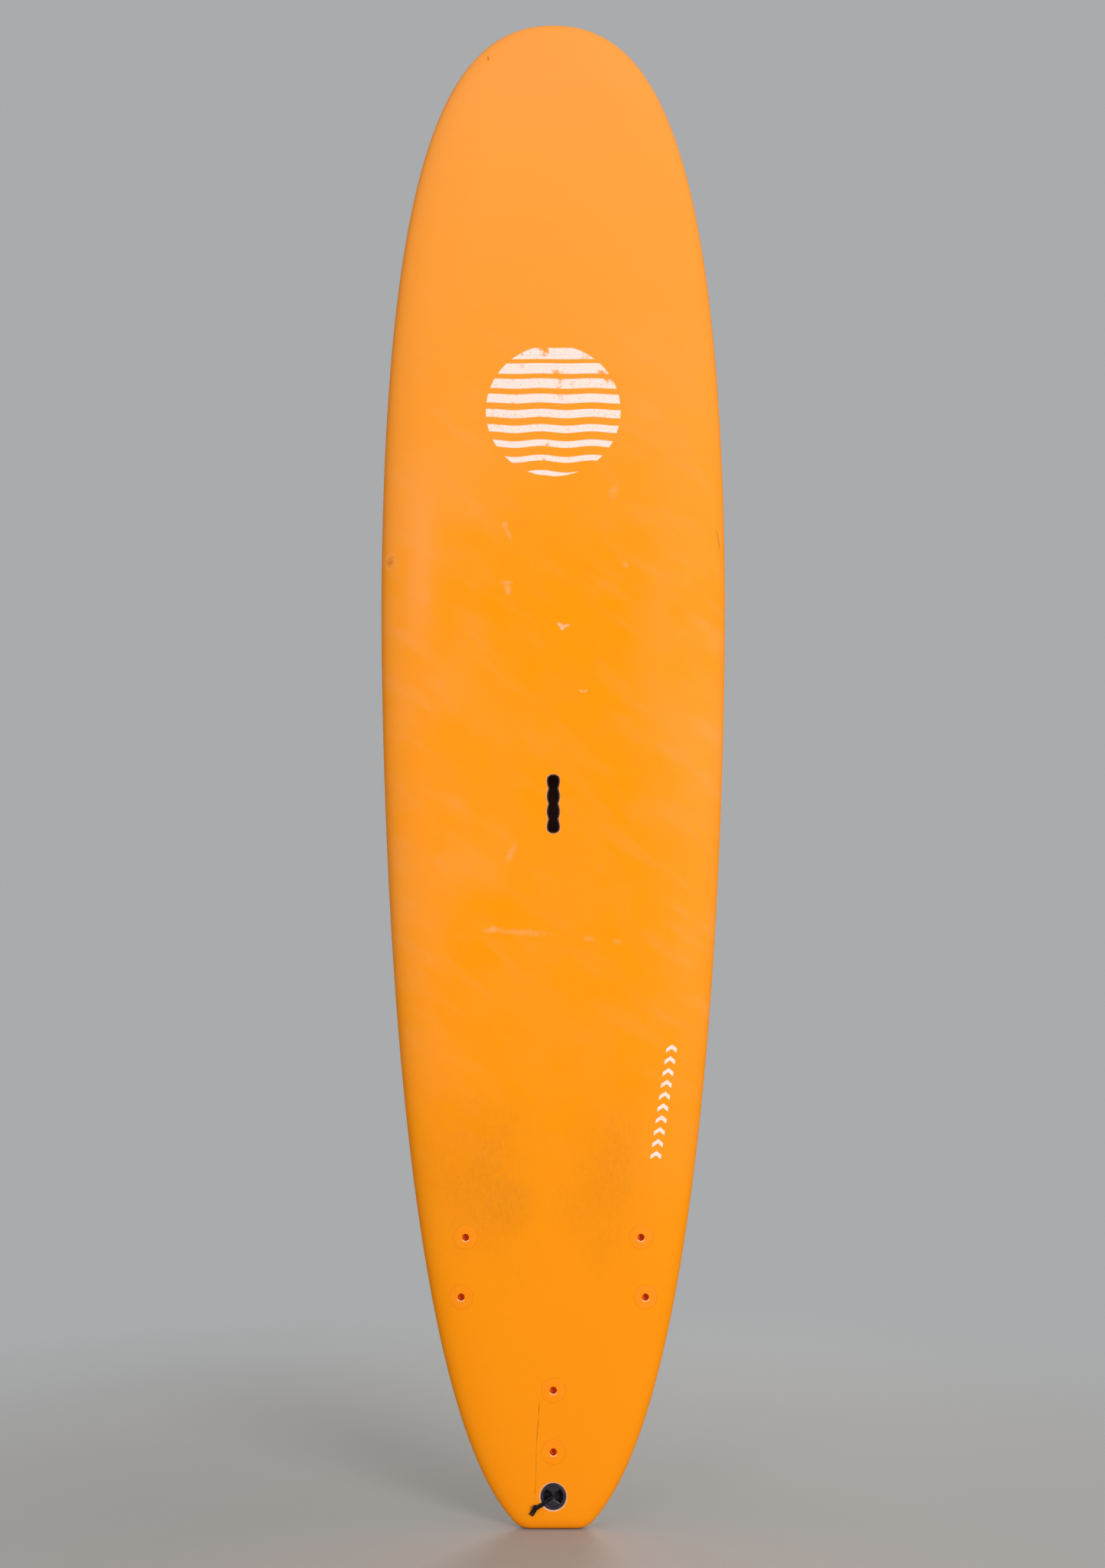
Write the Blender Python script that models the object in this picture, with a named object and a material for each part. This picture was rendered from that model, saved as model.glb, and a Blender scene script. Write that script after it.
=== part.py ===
"""Soft-top surfboard standing on its tail.

Foam skins over a three-lane core with two stringers, three fins pulled up by screws from the deck,
a carry-handle cup, and a leash plug with its string.

Metres. +Z runs from tail to nose, the deck faces -Y, and the origin is in the middle of the tail's end.
"""

import math

import bmesh
import bpy
from mathutils import Matrix, Vector
from mathutils.bvhtree import BVHTree
from mathutils.geometry import interpolate_bezier

# Outline, seen from the deck; a fullness is a share of the length that a curve's handle reaches along
BOARD_LENGTH = 2.438
BOARD_WIDTH = 0.570
WIDE_POINT = 1.480
NOSE_BLUNTNESS = 0.57
NOSE_FULLNESS = 0.82
TAIL_FULLNESS = 0.88
TAIL_BREADTH = 0.95
HIP_FULLNESS = 0.068
TAIL_WIDTH = 0.097
TAIL_CORNER = 0.008

# Profile, seen from the side
BOARD_THICKNESS = 0.0825
THICK_POINT = 1.170
NOSE_THICKNESS = 0.034
TAIL_THICKNESS = 0.036
THICKNESS_POWER = 2.2
NOSE_ROCKER = 0.100
TAIL_ROCKER = 0.050
FLAT_POINT = 1.050
ROCKER_POWER = 2.2

# Rail: where it is widest, its flat band, and how boxy the deck and bottom run into it
RAIL_APEX = 0.45
RAIL_BAND = 0.006
DECK_POWER = 5.5
BOTTOM_POWER = 16.0
NOSE_ROLL = 0.120
TAIL_ROLL = 0.060

# Skins, core and stringers
DECK_SKIN = 0.004
SLICK_SKIN = 0.0025
SEAM_SHARE = 0.89
STRINGER_SPACING = 0.150
STRINGER_THICKNESS = 0.005
GAP = 0.0003
LANE_GAP = 0.0008

# Carry handle
HANDLE_FROM_TAIL = 1.112
HANDLE_FINGERS = 4
FINGER_PITCH = 0.0248
FINGER_WIDTH = 0.0208
NECK_WIDTH = 0.0166
HANDLE_LENGTH = 0.0956
HANDLE_END_RADIUS = 0.0072
HANDLE_LIP = 0.0018
CUP_WIDTH = 0.062
CUP_LENGTH = 0.118
CUP_DEPTH = 0.046
CUP_WALL = 0.0025
CUP_CORNER = 0.012

# Fins and where their feet sit on the bottom
SIDE_FIN_FROM_TAIL = 0.3836
SIDE_FIN_FROM_MIDDLE = 0.1399
SIDE_FIN_TOE = math.radians(4.0)
SIDE_FIN_CANT = math.radians(2.5)
CENTRE_FIN_FROM_TAIL = 0.1557
FIN_BASE = 0.118
FIN_DEPTH = 0.112
FIN_SWEEP = 0.050
FIN_ROOT = 0.0105
FIN_TIP = 0.0045
TIP_CHORD_SHARE = 0.17
FIN_OUTLINE_POWER = 2.2
FIN_SWEEP_POWER = 1.4
BLADE_FINENESS = 1.25
FOOT_WIDTH = 0.022
FOOT_OVERHANG = 0.004
FOOT_THICKNESS = 0.0035
FOOT_FILLET = 0.0015
FOOT_BOXINESS = 0.45

# Fin fastening, from the deck plug down to the fin's posts
SCREW_SPACING = 0.090
PLUG_FLANGE = 0.036
PLUG_FLANGE_DEPTH = 0.010
PLUG_SLEEVE = 0.0150
SLEEVE_TAPER = 0.0020
WELL_WIDTH = 0.0104
WELL_DEPTH = 0.0150
SCREW_HEAD = 0.0096
SCREW_HEAD_HEIGHT = 0.0045
HEAD_CHAMFER = 0.0008
KEY_SOCKET = 0.0042
KEY_SOCKET_DEPTH = 0.0022
SCREW_SHANK = 0.0056
SCREW_POINT = 0.0010
SCREW_BITE = 0.010
POST_WIDTH = 0.0126
POST_HEIGHT = 0.022
INSERT_WIDTH = 0.0088
INSERT_LENGTH = 0.013
FERRULE_SLEEVE = 0.0176
FERRULE_FLANGE = 0.0290
FERRULE_FLANGE_DEPTH = 0.0040

# Leash plug, its bar and nut
LEASH_FROM_TAIL = 0.050
LEASH_RIM = 0.038
LEASH_RIM_DEPTH = 0.0055
LEASH_BODY = 0.0358
LEASH_BODY_DEPTH = 0.0175
LEASH_POCKET = 0.0296
LEASH_POCKET_DEPTH = 0.0140
LEASH_POCKET_FLOOR = 0.0200
POCKET_CHAMFER = 0.0014
RIM_CHAMFER = 0.0008
LEASH_STEM = 0.0150
LEASH_STEM_LENGTH = 0.0105
NUT_FLANGE = 0.030
NUT_FLANGE_DEPTH = 0.0040
NUT_SLEEVE = 0.0210
NUT_COVER = 0.0055
BAR_WAIST = 0.0049
BAR_WAIST_LENGTH = 0.0072
BAR_FLARE = math.radians(58.0)
BAR_DEPTH = 0.0042
BAR_SEAT = 0.0005
BAR_COVER = 0.0010
BAR_BOXINESS = 0.60

# String and knot
CORD_WIDTH = 0.0025
KNOT_WIDTH = 0.0085
KNOT_LENGTH = 0.0095
KNOT_HEIGHT = 0.0076
KNOT_TAIL = 0.0120
TAIL_HEADING = math.radians(237.0)
TAIL_SPREAD = math.radians(8.5)
TAIL_ASIDE = 0.0015
TAIL_UNDER = 0.0022

# How finely the shapes are divided, and how far a cutter runs past what it cuts
NOSE_POINTS = 12
TAIL_POINTS = 15
CURVE_STEPS = 200
DECK_SHARES = (0.0, 0.40, 0.66, 0.83, 0.94, 0.985, 1.0)
DECK_LINING_SHARES = (0.0, 0.55, 0.80, 0.94, 1.0)
LOWER_RAIL_SHARES = (1.0, 0.98, 0.94, SEAM_SHARE)
LINING_RAIL_SHARES = (1.0, SEAM_SHARE)
BOTTOM_SHARES = (0.80, 0.55, 0.0)
FIN_STATIONS = (0.0, 0.20, 0.42, 0.64, 0.82, 0.94, 1.0)
BAR_STATIONS = (1.0, 0.80, 0.62, 0.50, 0.25, 0.0)
CORNER_STEPS = 4
BEVEL_STEPS = 3
FINGER_STEPS = 5
ROUND_SIDES = 14
SCREW_SIDES = 8
LEASH_SIDES = 18
FIN_SIDES = 14
BAR_SIDES = 12
KNOT_SIDES = 10
KNOT_RINGS = 7
CORD_STEPS = 2
SHARP_ANGLE = math.radians(35)
MERGE = 1e-6
BEYOND = 0.010

# Finishes: colour, roughness, metallic
ORANGE_FOAM = ((1.0, 0.32, 0.0), 0.62, 0.0)
WHITE_SLICK = ((0.80, 0.79, 0.76), 0.28, 0.0)
WHITE_BEADS = ((0.86, 0.86, 0.85), 0.85, 0.0)
PLY = ((0.55, 0.36, 0.19), 0.70, 0.0)
BLACK_PLASTIC = ((0.020, 0.019, 0.022), 0.42, 0.0)
ORANGE_PLASTIC = ((1.0, 0.28, 0.0), 0.38, 0.0)
DARK_STEEL = ((0.10, 0.09, 0.085), 0.38, 1.0)
BRASS = ((0.72, 0.50, 0.20), 0.30, 1.0)
BLACK_CORD = ((0.012, 0.012, 0.014), 0.80, 0.0)


# Outline and profile


def resample(points, count):
    """Points along a polyline, closer together where it turns, with both ends kept."""
    reach = [0.0]
    turn = [0.0]
    for before, here, after in zip(points, points[1:], points[2:] + points[-1:]):
        reach.append(reach[-1] + (here - before).length)
        bend = 0.0 if after == here else (here - before).angle(after - here, 0.0)
        turn.append(turn[-1] + bend)
    measure = [r / reach[-1] + t / turn[-1] for r, t in zip(reach, turn)]
    picked = []
    step = 0
    for i in range(count):
        target = measure[-1] * i / (count - 1)
        while step < len(points) - 2 and measure[step + 1] < target:
            step += 1
        span = measure[step + 1] - measure[step]
        picked.append(points[step].lerp(points[step + 1], (target - measure[step]) / span))
    return picked


def half_outline():
    """The right half of the outline as (x, z), from the nose's tip to the middle of the tail's end."""
    half_width = BOARD_WIDTH / 2
    tip = Vector((0, BOARD_LENGTH))
    wide = Vector((half_width, WIDE_POINT))
    corner = Vector((TAIL_WIDTH / 2, 0))
    nose = interpolate_bezier(
        tip,
        (half_width * NOSE_BLUNTNESS, BOARD_LENGTH),
        (half_width, WIDE_POINT + NOSE_FULLNESS * (BOARD_LENGTH - WIDE_POINT)),
        wide,
        CURVE_STEPS,
    )
    tail = interpolate_bezier(
        wide,
        (half_width, WIDE_POINT * (1 - HIP_FULLNESS)),
        (half_width * TAIL_BREADTH, WIDE_POINT * (1 - TAIL_FULLNESS)),
        corner,
        CURVE_STEPS,
    )
    rail = [p for p in tail if (p - corner).length > TAIL_CORNER]
    flat_end = corner - Vector((TAIL_CORNER, 0))
    rounding = [
        rail[-1] * (1 - t) ** 2 + corner * 2 * t * (1 - t) + flat_end * t * t
        for t in (i / CORNER_STEPS for i in range(1, CORNER_STEPS + 1))
    ]
    return resample(nose, NOSE_POINTS) + resample(rail + rounding, TAIL_POINTS)[1:] + [Vector((0, 0))]


def whole_outline():
    right = half_outline()
    left = [Vector((-p.x, p.y)) for p in right[-2:0:-1]]
    return right + left


def inward_normals(loop):
    normals = []
    for before, after in zip(loop[-1:] + loop[:-1], loop[1:] + loop[:1]):
        along = (after - before).normalized()
        normals.append(Vector((along.y, -along.x)))
    return normals


OUTLINE = whole_outline()
INWARD = inward_normals(OUTLINE)


def rocker(z):
    """How far the bottom curves up from its flat point, towards the deck."""
    nose = max(0.0, z - FLAT_POINT) / (BOARD_LENGTH - FLAT_POINT)
    tail = max(0.0, FLAT_POINT - z) / FLAT_POINT
    return NOSE_ROCKER * nose**ROCKER_POWER + TAIL_ROCKER * tail**ROCKER_POWER


def thickness(z):
    if z > THICK_POINT:
        away, end = (z - THICK_POINT) / (BOARD_LENGTH - THICK_POINT), NOSE_THICKNESS
    else:
        away, end = (THICK_POINT - z) / THICK_POINT, TAIL_THICKNESS
    return BOARD_THICKNESS - (BOARD_THICKNESS - end) * away**THICKNESS_POWER


TAIL_APEX_Y = rocker(0.0) + RAIL_APEX * TAIL_THICKNESS


def deck_y(z, share, inset):
    thick = thickness(z)
    rail = RAIL_APEX * thick + RAIL_BAND / 2
    height = rail + (thick - inset - rail) * math.sqrt(1 - share**DECK_POWER)
    return TAIL_APEX_Y - rocker(z) - height


def bottom_y(z, share, inset):
    rail = RAIL_APEX * thickness(z) - RAIL_BAND / 2
    height = rail - (rail - inset) * math.sqrt(1 - share**BOTTOM_POWER)
    return TAIL_APEX_Y - rocker(z) - height


# Rings of the board's surface, and bodies lofted through them


def ring(share, height, inset=0.0, drawn_back=0.0):
    """One ring round the board, share of the way from its spine to an outline drawn in by inset."""
    points = []
    run = (BOARD_LENGTH - NOSE_ROLL - TAIL_ROLL) / BOARD_LENGTH
    for edge, inward in zip(OUTLINE, INWARD):
        spine = Vector((0, TAIL_ROLL + run * edge.y))
        outward = edge + inward * inset - spine
        here = share - drawn_back / outward.length
        flat = spine + outward * here
        points.append(Vector((flat.x, height(flat.y, here, inset), flat.y)))
    return points


def deck_rings():
    """From the spine over the deck and round the rail to the seam with the bottom."""
    over = [ring(share, deck_y) for share in DECK_SHARES]
    return over + [ring(share, bottom_y) for share in LOWER_RAIL_SHARES]


def lining_rings(inset):
    """The same way round on the inside, with fewer rings."""
    over = [ring(share, deck_y, inset) for share in DECK_LINING_SHARES]
    return over + [ring(share, bottom_y, inset) for share in LINING_RAIL_SHARES]


def bottom_rings(inset):
    return [ring(share, bottom_y, inset) for share in BOTTOM_SHARES]


def add_ring(bm, points):
    """A ring's vertices; a ring squeezed onto the spine gets one vertex where its two sides meet."""
    made = {}
    verts = []
    for point in points:
        key = tuple(round(c, 6) for c in point)
        if key not in made:
            made[key] = bm.verts.new(point)
        verts.append(made[key])
    return verts


def loft(rings):
    """A closed body through rings whose first and last are squeezed onto the spine."""
    bm = bmesh.new()
    loops = [add_ring(bm, points) for points in rings]
    for low, high in zip(loops, loops[1:]):
        for i in range(len(low)):
            j = (i + 1) % len(low)
            bm.faces.new(dict.fromkeys((low[i], low[j], high[j], high[i])))
    return closed(bm)


# Small tools


def closed(bm):
    bmesh.ops.recalc_face_normals(bm, faces=bm.faces)
    return bm


def finished(name, bm, finish, frame=Matrix()):
    """An object from a bmesh, with its material, placed by a frame."""
    mesh = bpy.data.meshes.new(name)
    bm.to_mesh(mesh)
    bm.free()
    mesh.shade_smooth()
    mesh.set_sharp_from_angle(angle=SHARP_ANGLE)
    part = bpy.data.objects.new(name, mesh)
    part.matrix_world = frame
    bpy.context.scene.collection.objects.link(part)
    coat(part, finish)
    return part


def coat(part, finish):
    colour, roughness, metallic = finish
    material = bpy.data.materials.new(part.name)
    material.use_nodes = True
    shader = material.node_tree.nodes["Principled BSDF"]
    shader.inputs["Base Color"].default_value = (*colour, 1.0)
    shader.inputs["Roughness"].default_value = roughness
    shader.inputs["Metallic"].default_value = metallic
    part.data.materials.append(material)


def guide(name, bm, frame=Matrix()):
    """A cutter or trimming shape that isn't part of the board."""
    shape = finished(name, bm, BLACK_PLASTIC, frame)
    shape.hide_render = True
    shape.display_type = "WIRE"
    return shape


def combine(part, operation, *others):
    for other in others:
        modifier = part.modifiers.new(other.name, "BOOLEAN")
        modifier.operation = operation
        modifier.object = other


def turned(profile, sides=ROUND_SIDES):
    """A body turned about Z from (radius, height) points, which run as a ring or from axis to axis."""
    bm = bmesh.new()
    verts = [bm.verts.new((radius, 0, height)) for radius, height in profile]
    pairs = list(zip(verts, verts[1:]))
    if profile[0][0] > 0:
        pairs.append((verts[-1], verts[0]))
    edges = [bm.edges.new(pair) for pair in pairs]
    bmesh.ops.spin(
        bm, geom=verts + edges, cent=(0, 0, 0), axis=(0, 0, 1), angle=math.tau, steps=sides, use_merge=True
    )
    bmesh.ops.remove_doubles(bm, verts=bm.verts, dist=MERGE)
    return closed(bm)


def stacked(sections):
    """A body through closed sections that all have the same number of points, capped at both ends."""
    bm = bmesh.new()
    loops = [[bm.verts.new(point) for point in section] for section in sections]
    for low, high in zip(loops, loops[1:]):
        for i in range(len(low)):
            j = (i + 1) % len(low)
            bm.faces.new((low[i], low[j], high[j], high[i]))
    bm.faces.new(loops[0][::-1])
    bm.faces.new(loops[-1])
    return closed(bm)


def prism(points, low, high):
    """An outline of (x, y) points drawn out along Z from low to high."""
    bm = bmesh.new()
    face = bm.faces.new([bm.verts.new((x, y, low)) for x, y in points])
    drawn = bmesh.ops.extrude_face_region(bm, geom=[face])
    moved = [v for v in drawn["geom"] if isinstance(v, bmesh.types.BMVert)]
    bmesh.ops.translate(bm, verts=moved, vec=(0, 0, high - low))
    return closed(bm)


def rounded_box(width, length, low, high, radius):
    """A box about the Z axis, rounded at its upright edges and round its floor."""
    bm = bmesh.new()
    middle = Vector((0, 0, (low + high) / 2))
    bmesh.ops.create_cube(bm, size=1, matrix=Matrix.LocRotScale(middle, None, (width, length, high - low)))
    edges = [e for e in bm.edges if any(v.co.z < middle.z for v in e.verts)]
    bmesh.ops.bevel(bm, geom=edges, offset=radius, segments=BEVEL_STEPS, profile=0.5, affect="EDGES")
    return closed(bm)


def cylinder_profile(width, low, high):
    return [(0, high), (width / 2, high), (width / 2, low), (0, low)]


def axis_frame(origin, up, along):
    """A frame whose Z is up and whose Y lies as near along as it can."""
    z = up.normalized()
    x = along.cross(z).normalized()
    return Matrix.Translation(origin) @ Matrix((x, z.cross(x), z)).transposed().to_4x4()


# Hull, skins, core and stringers


def make_hull():
    return loft(deck_rings() + bottom_rings(0.0))


def make_deck_skin():
    return finished("deck_skin", loft(deck_rings() + lining_rings(DECK_SKIN)[::-1]), ORANGE_FOAM)


def make_bottom_skin():
    edges = [ring(SEAM_SHARE, bottom_y, inset, 2 * GAP) for inset in (0.0, SLICK_SKIN)]
    outer = [edges[0]] + bottom_rings(0.0)
    inner = [edges[1]] + bottom_rings(SLICK_SKIN)
    return finished("bottom_skin", loft(outer[::-1] + inner), WHITE_SLICK)


def core_lane(low, high):
    """The core between two planes across X."""
    bm = loft(lining_rings(DECK_SKIN + LANE_GAP) + bottom_rings(SLICK_SKIN + LANE_GAP))
    for place, outward in ((low, -1), (high, 1)):
        if place is None:
            continue
        whole = bm.verts[:] + bm.edges[:] + bm.faces[:]
        cut = bmesh.ops.bisect_plane(
            bm, geom=whole, plane_co=(place, 0, 0), plane_no=(outward, 0, 0), clear_outer=True
        )
        rim = [e for e in cut["geom_cut"] if isinstance(e, bmesh.types.BMEdge)]
        bmesh.ops.contextual_create(bm, geom=rim)
    return closed(bm)


def make_core_and_stringers():
    middle = STRINGER_SPACING / 2
    half = STRINGER_THICKNESS / 2
    near = middle - half
    far = middle + half
    lanes = {
        "core_left": finished("core_left", core_lane(None, -far - GAP), WHITE_BEADS),
        "core_centre": finished("core_centre", core_lane(GAP - near, near - GAP), WHITE_BEADS),
        "core_right": finished("core_right", core_lane(far + GAP, None), WHITE_BEADS),
    }
    finished("stringer_left", core_lane(-far, -near), PLY)
    finished("stringer_right", core_lane(near, far), PLY)
    return lanes


# Carry handle


def finger_slot(inset):
    """The scalloped slot as (x, y) about its middle, with one bulge for each finger."""
    half_length = HANDLE_LENGTH / 2 - inset
    radius = HANDLE_END_RADIUS - inset
    steps = HANDLE_FINGERS * FINGER_STEPS
    side = []
    for i in range(steps + 1):
        y = -half_length * math.cos(math.pi * i / steps)
        bulge = abs(math.sin(math.pi * (y / FINGER_PITCH - HANDLE_FINGERS / 2)))
        half_width = (NECK_WIDTH + (FINGER_WIDTH - NECK_WIDTH) * bulge) / 2 - inset
        past = max(0.0, abs(y) - (half_length - radius))
        half_width -= radius - math.sqrt(max(0.0, radius**2 - past**2))
        side.append((half_width, y))
    return side + [(-x, y) for x, y in side[::-1]]


def handle_frame(surface):
    """X to the right, Y along the deck towards the nose and Z out of it, in the middle of the slot."""
    tail_end = surface.deck(0.0, HANDLE_FROM_TAIL - CUP_LENGTH / 2)
    nose_end = surface.deck(0.0, HANDLE_FROM_TAIL + CUP_LENGTH / 2)
    along = nose_end - tail_end
    return axis_frame((tail_end + nose_end) / 2, Vector((1, 0, 0)).cross(along), along)


def make_handle(surface):
    """The cup under the deck with its scalloped lip; returns the cutters that make room for both."""
    frame = handle_frame(surface)
    plate = -DECK_SKIN - 2 * GAP
    floor = plate - CUP_DEPTH
    above = DECK_SKIN
    cup_box = rounded_box(CUP_WIDTH, CUP_LENGTH, floor, plate, CUP_CORNER)
    cup = finished("handle_cup", cup_box, BLACK_PLASTIC, frame)
    pocket = rounded_box(
        CUP_WIDTH - 2 * CUP_WALL,
        CUP_LENGTH - 2 * CUP_WALL,
        floor + CUP_WALL,
        plate - CUP_WALL,
        CUP_CORNER - CUP_WALL,
    )
    lip = prism(finger_slot(GAP), plate - CUP_WALL / 2, -GAP)
    mouth = prism(finger_slot(HANDLE_LIP), plate - 2 * CUP_WALL, above)
    combine(cup, "UNION", guide("lip_form", lip, frame))
    combine(cup, "DIFFERENCE", guide("pocket_form", pocket, frame), guide("mouth_form", mouth, frame))
    bed = rounded_box(CUP_WIDTH + 2 * GAP, CUP_LENGTH + 2 * GAP, floor - GAP, above, CUP_CORNER)
    slot = prism(finger_slot(0.0), plate - above, above)
    return guide("cup_bed", bed, frame), guide("slot_form", slot, frame)


# Fins and their fastenings


def fin_section(depth, cant):
    """One closed section of the fin, depth below its foot's face."""
    share = max(0.0, depth - FOOT_THICKNESS) / (FIN_DEPTH - FOOT_THICKNESS)
    chord = FIN_BASE * math.sqrt(1 - (1 - TIP_CHORD_SHARE**2) * share**FIN_OUTLINE_POWER)
    middle = -FIN_SWEEP * share**FIN_SWEEP_POWER
    thick = FIN_ROOT + (FIN_TIP - FIN_ROOT) * share
    fineness = BLADE_FINENESS
    if depth <= FOOT_THICKNESS:
        chord += 2 * FOOT_OVERHANG
        thick = FOOT_WIDTH
        fineness = FOOT_BOXINESS
    section = []
    for i in range(FIN_SIDES):
        angle = math.tau * i / FIN_SIDES
        across = math.copysign(abs(math.sin(angle)) ** fineness, math.sin(angle))
        aside = thick / 2 * across + depth * math.tan(cant)
        section.append((middle + chord / 2 * math.cos(angle), aside, depth))
    return section


def fin_body(cant):
    """A boxed foot with a tapering, swept blade under it; X points to the nose and Z away from the board."""
    root = FOOT_THICKNESS + FOOT_FILLET
    blade = [root + (FIN_DEPTH - root) * share for share in FIN_STATIONS]
    return stacked([fin_section(depth, cant) for depth in [0.0, FOOT_THICKNESS] + blade])


def plug_profile(top):
    """A deck plug: flange, sleeve down to the ferrule, and a stepped hole for the screw and its head."""
    seat = POST_HEIGHT + 2 * GAP
    under = top - PLUG_FLANGE_DEPTH
    well = top - WELL_DEPTH
    over = top + BEYOND
    bore = SCREW_SHANK / 2 + GAP
    return [
        (WELL_WIDTH / 2, over),
        (PLUG_FLANGE / 2, over),
        (PLUG_FLANGE / 2, under),
        (PLUG_SLEEVE / 2, under - SLEEVE_TAPER),
        (PLUG_SLEEVE / 2, seat),
        (bore, seat),
        (bore, well),
        (WELL_WIDTH / 2, well),
    ]


def ferrule_profile():
    """A flanged bush in the bottom for a fin post; the deck plug's sleeve sits on its rim."""
    inner = POST_WIDTH / 2 + GAP
    rim = POST_HEIGHT + GAP
    return [
        (inner, 0),
        (FERRULE_FLANGE / 2, 0),
        (FERRULE_FLANGE / 2, FERRULE_FLANGE_DEPTH),
        (FERRULE_SLEEVE / 2, FERRULE_FLANGE_DEPTH + SLEEVE_TAPER),
        (FERRULE_SLEEVE / 2, rim),
        (inner, rim),
    ]


def screw_profile(top):
    """A screw whose head rests in the plug's well and whose shank reaches the fin's insert."""
    seat = top - WELL_DEPTH + GAP
    crown = seat + SCREW_HEAD_HEIGHT
    point = POST_HEIGHT - SCREW_BITE
    return [
        (0, crown - KEY_SOCKET_DEPTH),
        (KEY_SOCKET / 2, crown - KEY_SOCKET_DEPTH),
        (KEY_SOCKET / 2, crown),
        (SCREW_HEAD / 2 - HEAD_CHAMFER, crown),
        (SCREW_HEAD / 2, crown - HEAD_CHAMFER),
        (SCREW_HEAD / 2, seat),
        (SCREW_SHANK / 2, seat),
        (SCREW_SHANK / 2, point + SCREW_POINT),
        (SCREW_SHANK / 2 - SCREW_POINT, point),
        (0, point),
    ]


def insert_profile():
    inner = SCREW_SHANK / 2 + GAP
    low = POST_HEIGHT - INSERT_LENGTH
    return [
        (inner, POST_HEIGHT),
        (INSERT_WIDTH / 2, POST_HEIGHT),
        (INSERT_WIDTH / 2, low),
        (inner, low),
    ]


def bore_profile(top):
    """Room in the skins and the core for one deck plug and the ferrule under it."""
    seat = POST_HEIGHT + 2 * GAP
    under = top - PLUG_FLANGE_DEPTH - GAP
    ledge = FERRULE_FLANGE_DEPTH + GAP
    wide = FERRULE_SLEEVE / 2 + GAP
    return [
        (0, top + BEYOND),
        (PLUG_FLANGE / 2 + GAP, top + BEYOND),
        (PLUG_FLANGE / 2 + GAP, under),
        (PLUG_SLEEVE / 2 + GAP, under - SLEEVE_TAPER),
        (PLUG_SLEEVE / 2 + GAP, seat),
        (wide, seat),
        (wide, ledge + SLEEVE_TAPER),
        (FERRULE_FLANGE / 2 + GAP, ledge),
        (FERRULE_FLANGE / 2 + GAP, -BEYOND),
        (0, -BEYOND),
    ]


def make_fin(side, place, toe, cant, surface, hull):
    """One fin with its two sets of screw, insert, ferrule and deck plug; returns the bores they need."""
    seat, normal = surface.bottom_seat(*place)
    along = Vector((-math.sin(toe), 0, math.cos(toe)))
    frame = axis_frame(seat, -normal, along)
    hanging = Matrix.Rotation(math.pi / 2, 4, "Z") @ Matrix.Rotation(math.pi, 4, "X")
    foot = frame @ Matrix.Translation((0, 0, -GAP)) @ hanging
    fin = finished(f"{side}_fin", fin_body(cant), BLACK_PLASTIC, foot)
    bores = []
    for end, shift in (("front", SCREW_SPACING / 2), ("rear", -SCREW_SPACING / 2)):
        label = f"{side}_{end}"
        hole = frame @ Matrix.Translation((0, shift, 0))
        top = surface.deck_distance(hole.translation, -normal)
        plug = finished(f"fin_plug_{label}", turned(plug_profile(top)), ORANGE_PLASTIC, hole)
        ferrule = finished(f"fin_ferrule_{label}", turned(ferrule_profile()), BLACK_PLASTIC, hole)
        combine(plug, "INTERSECT", hull)
        combine(ferrule, "INTERSECT", hull)
        finished(f"fin_screw_{label}", turned(screw_profile(top), SCREW_SIDES), DARK_STEEL, hole)
        finished(f"fin_insert_{label}", turned(insert_profile(), SCREW_SIDES), BRASS, hole)
        post = turned(cylinder_profile(POST_WIDTH, -FOOT_THICKNESS / 2, POST_HEIGHT))
        low = POST_HEIGHT - INSERT_LENGTH - GAP
        socket = turned(cylinder_profile(INSERT_WIDTH + 2 * GAP, low, POST_HEIGHT + BEYOND), SCREW_SIDES)
        combine(fin, "UNION", guide(f"post_{label}", post, hole))
        combine(fin, "DIFFERENCE", guide(f"socket_{label}", socket, hole))
        bores.append(guide(f"bore_{label}", turned(bore_profile(top)), hole))
    return bores


# Leash plug


def leash_frame(surface):
    """X to the right, Y towards the nose and Z out of the deck, in the middle of the plug's face."""
    face = surface.deck(0.0, LEASH_FROM_TAIL)
    return axis_frame(face, Vector((0, -1, 0)), Vector((0, 0, 1)))


def leash_plug_profile():
    return [
        (0, -LEASH_POCKET_DEPTH),
        (LEASH_POCKET_FLOOR / 2, -LEASH_POCKET_DEPTH),
        (LEASH_POCKET / 2, -LEASH_POCKET_DEPTH / 2),
        (LEASH_POCKET / 2, -POCKET_CHAMFER),
        (LEASH_POCKET / 2 + POCKET_CHAMFER, 0),
        (LEASH_RIM / 2 - RIM_CHAMFER, 0),
        (LEASH_RIM / 2, -RIM_CHAMFER),
        (LEASH_RIM / 2, -LEASH_RIM_DEPTH),
        (LEASH_BODY / 2, -LEASH_RIM_DEPTH),
        (LEASH_BODY / 2, -LEASH_BODY_DEPTH),
        (LEASH_STEM / 2, -LEASH_BODY_DEPTH),
        (LEASH_STEM / 2, -LEASH_BODY_DEPTH - LEASH_STEM_LENGTH),
        (0, -LEASH_BODY_DEPTH - LEASH_STEM_LENGTH),
    ]


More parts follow.
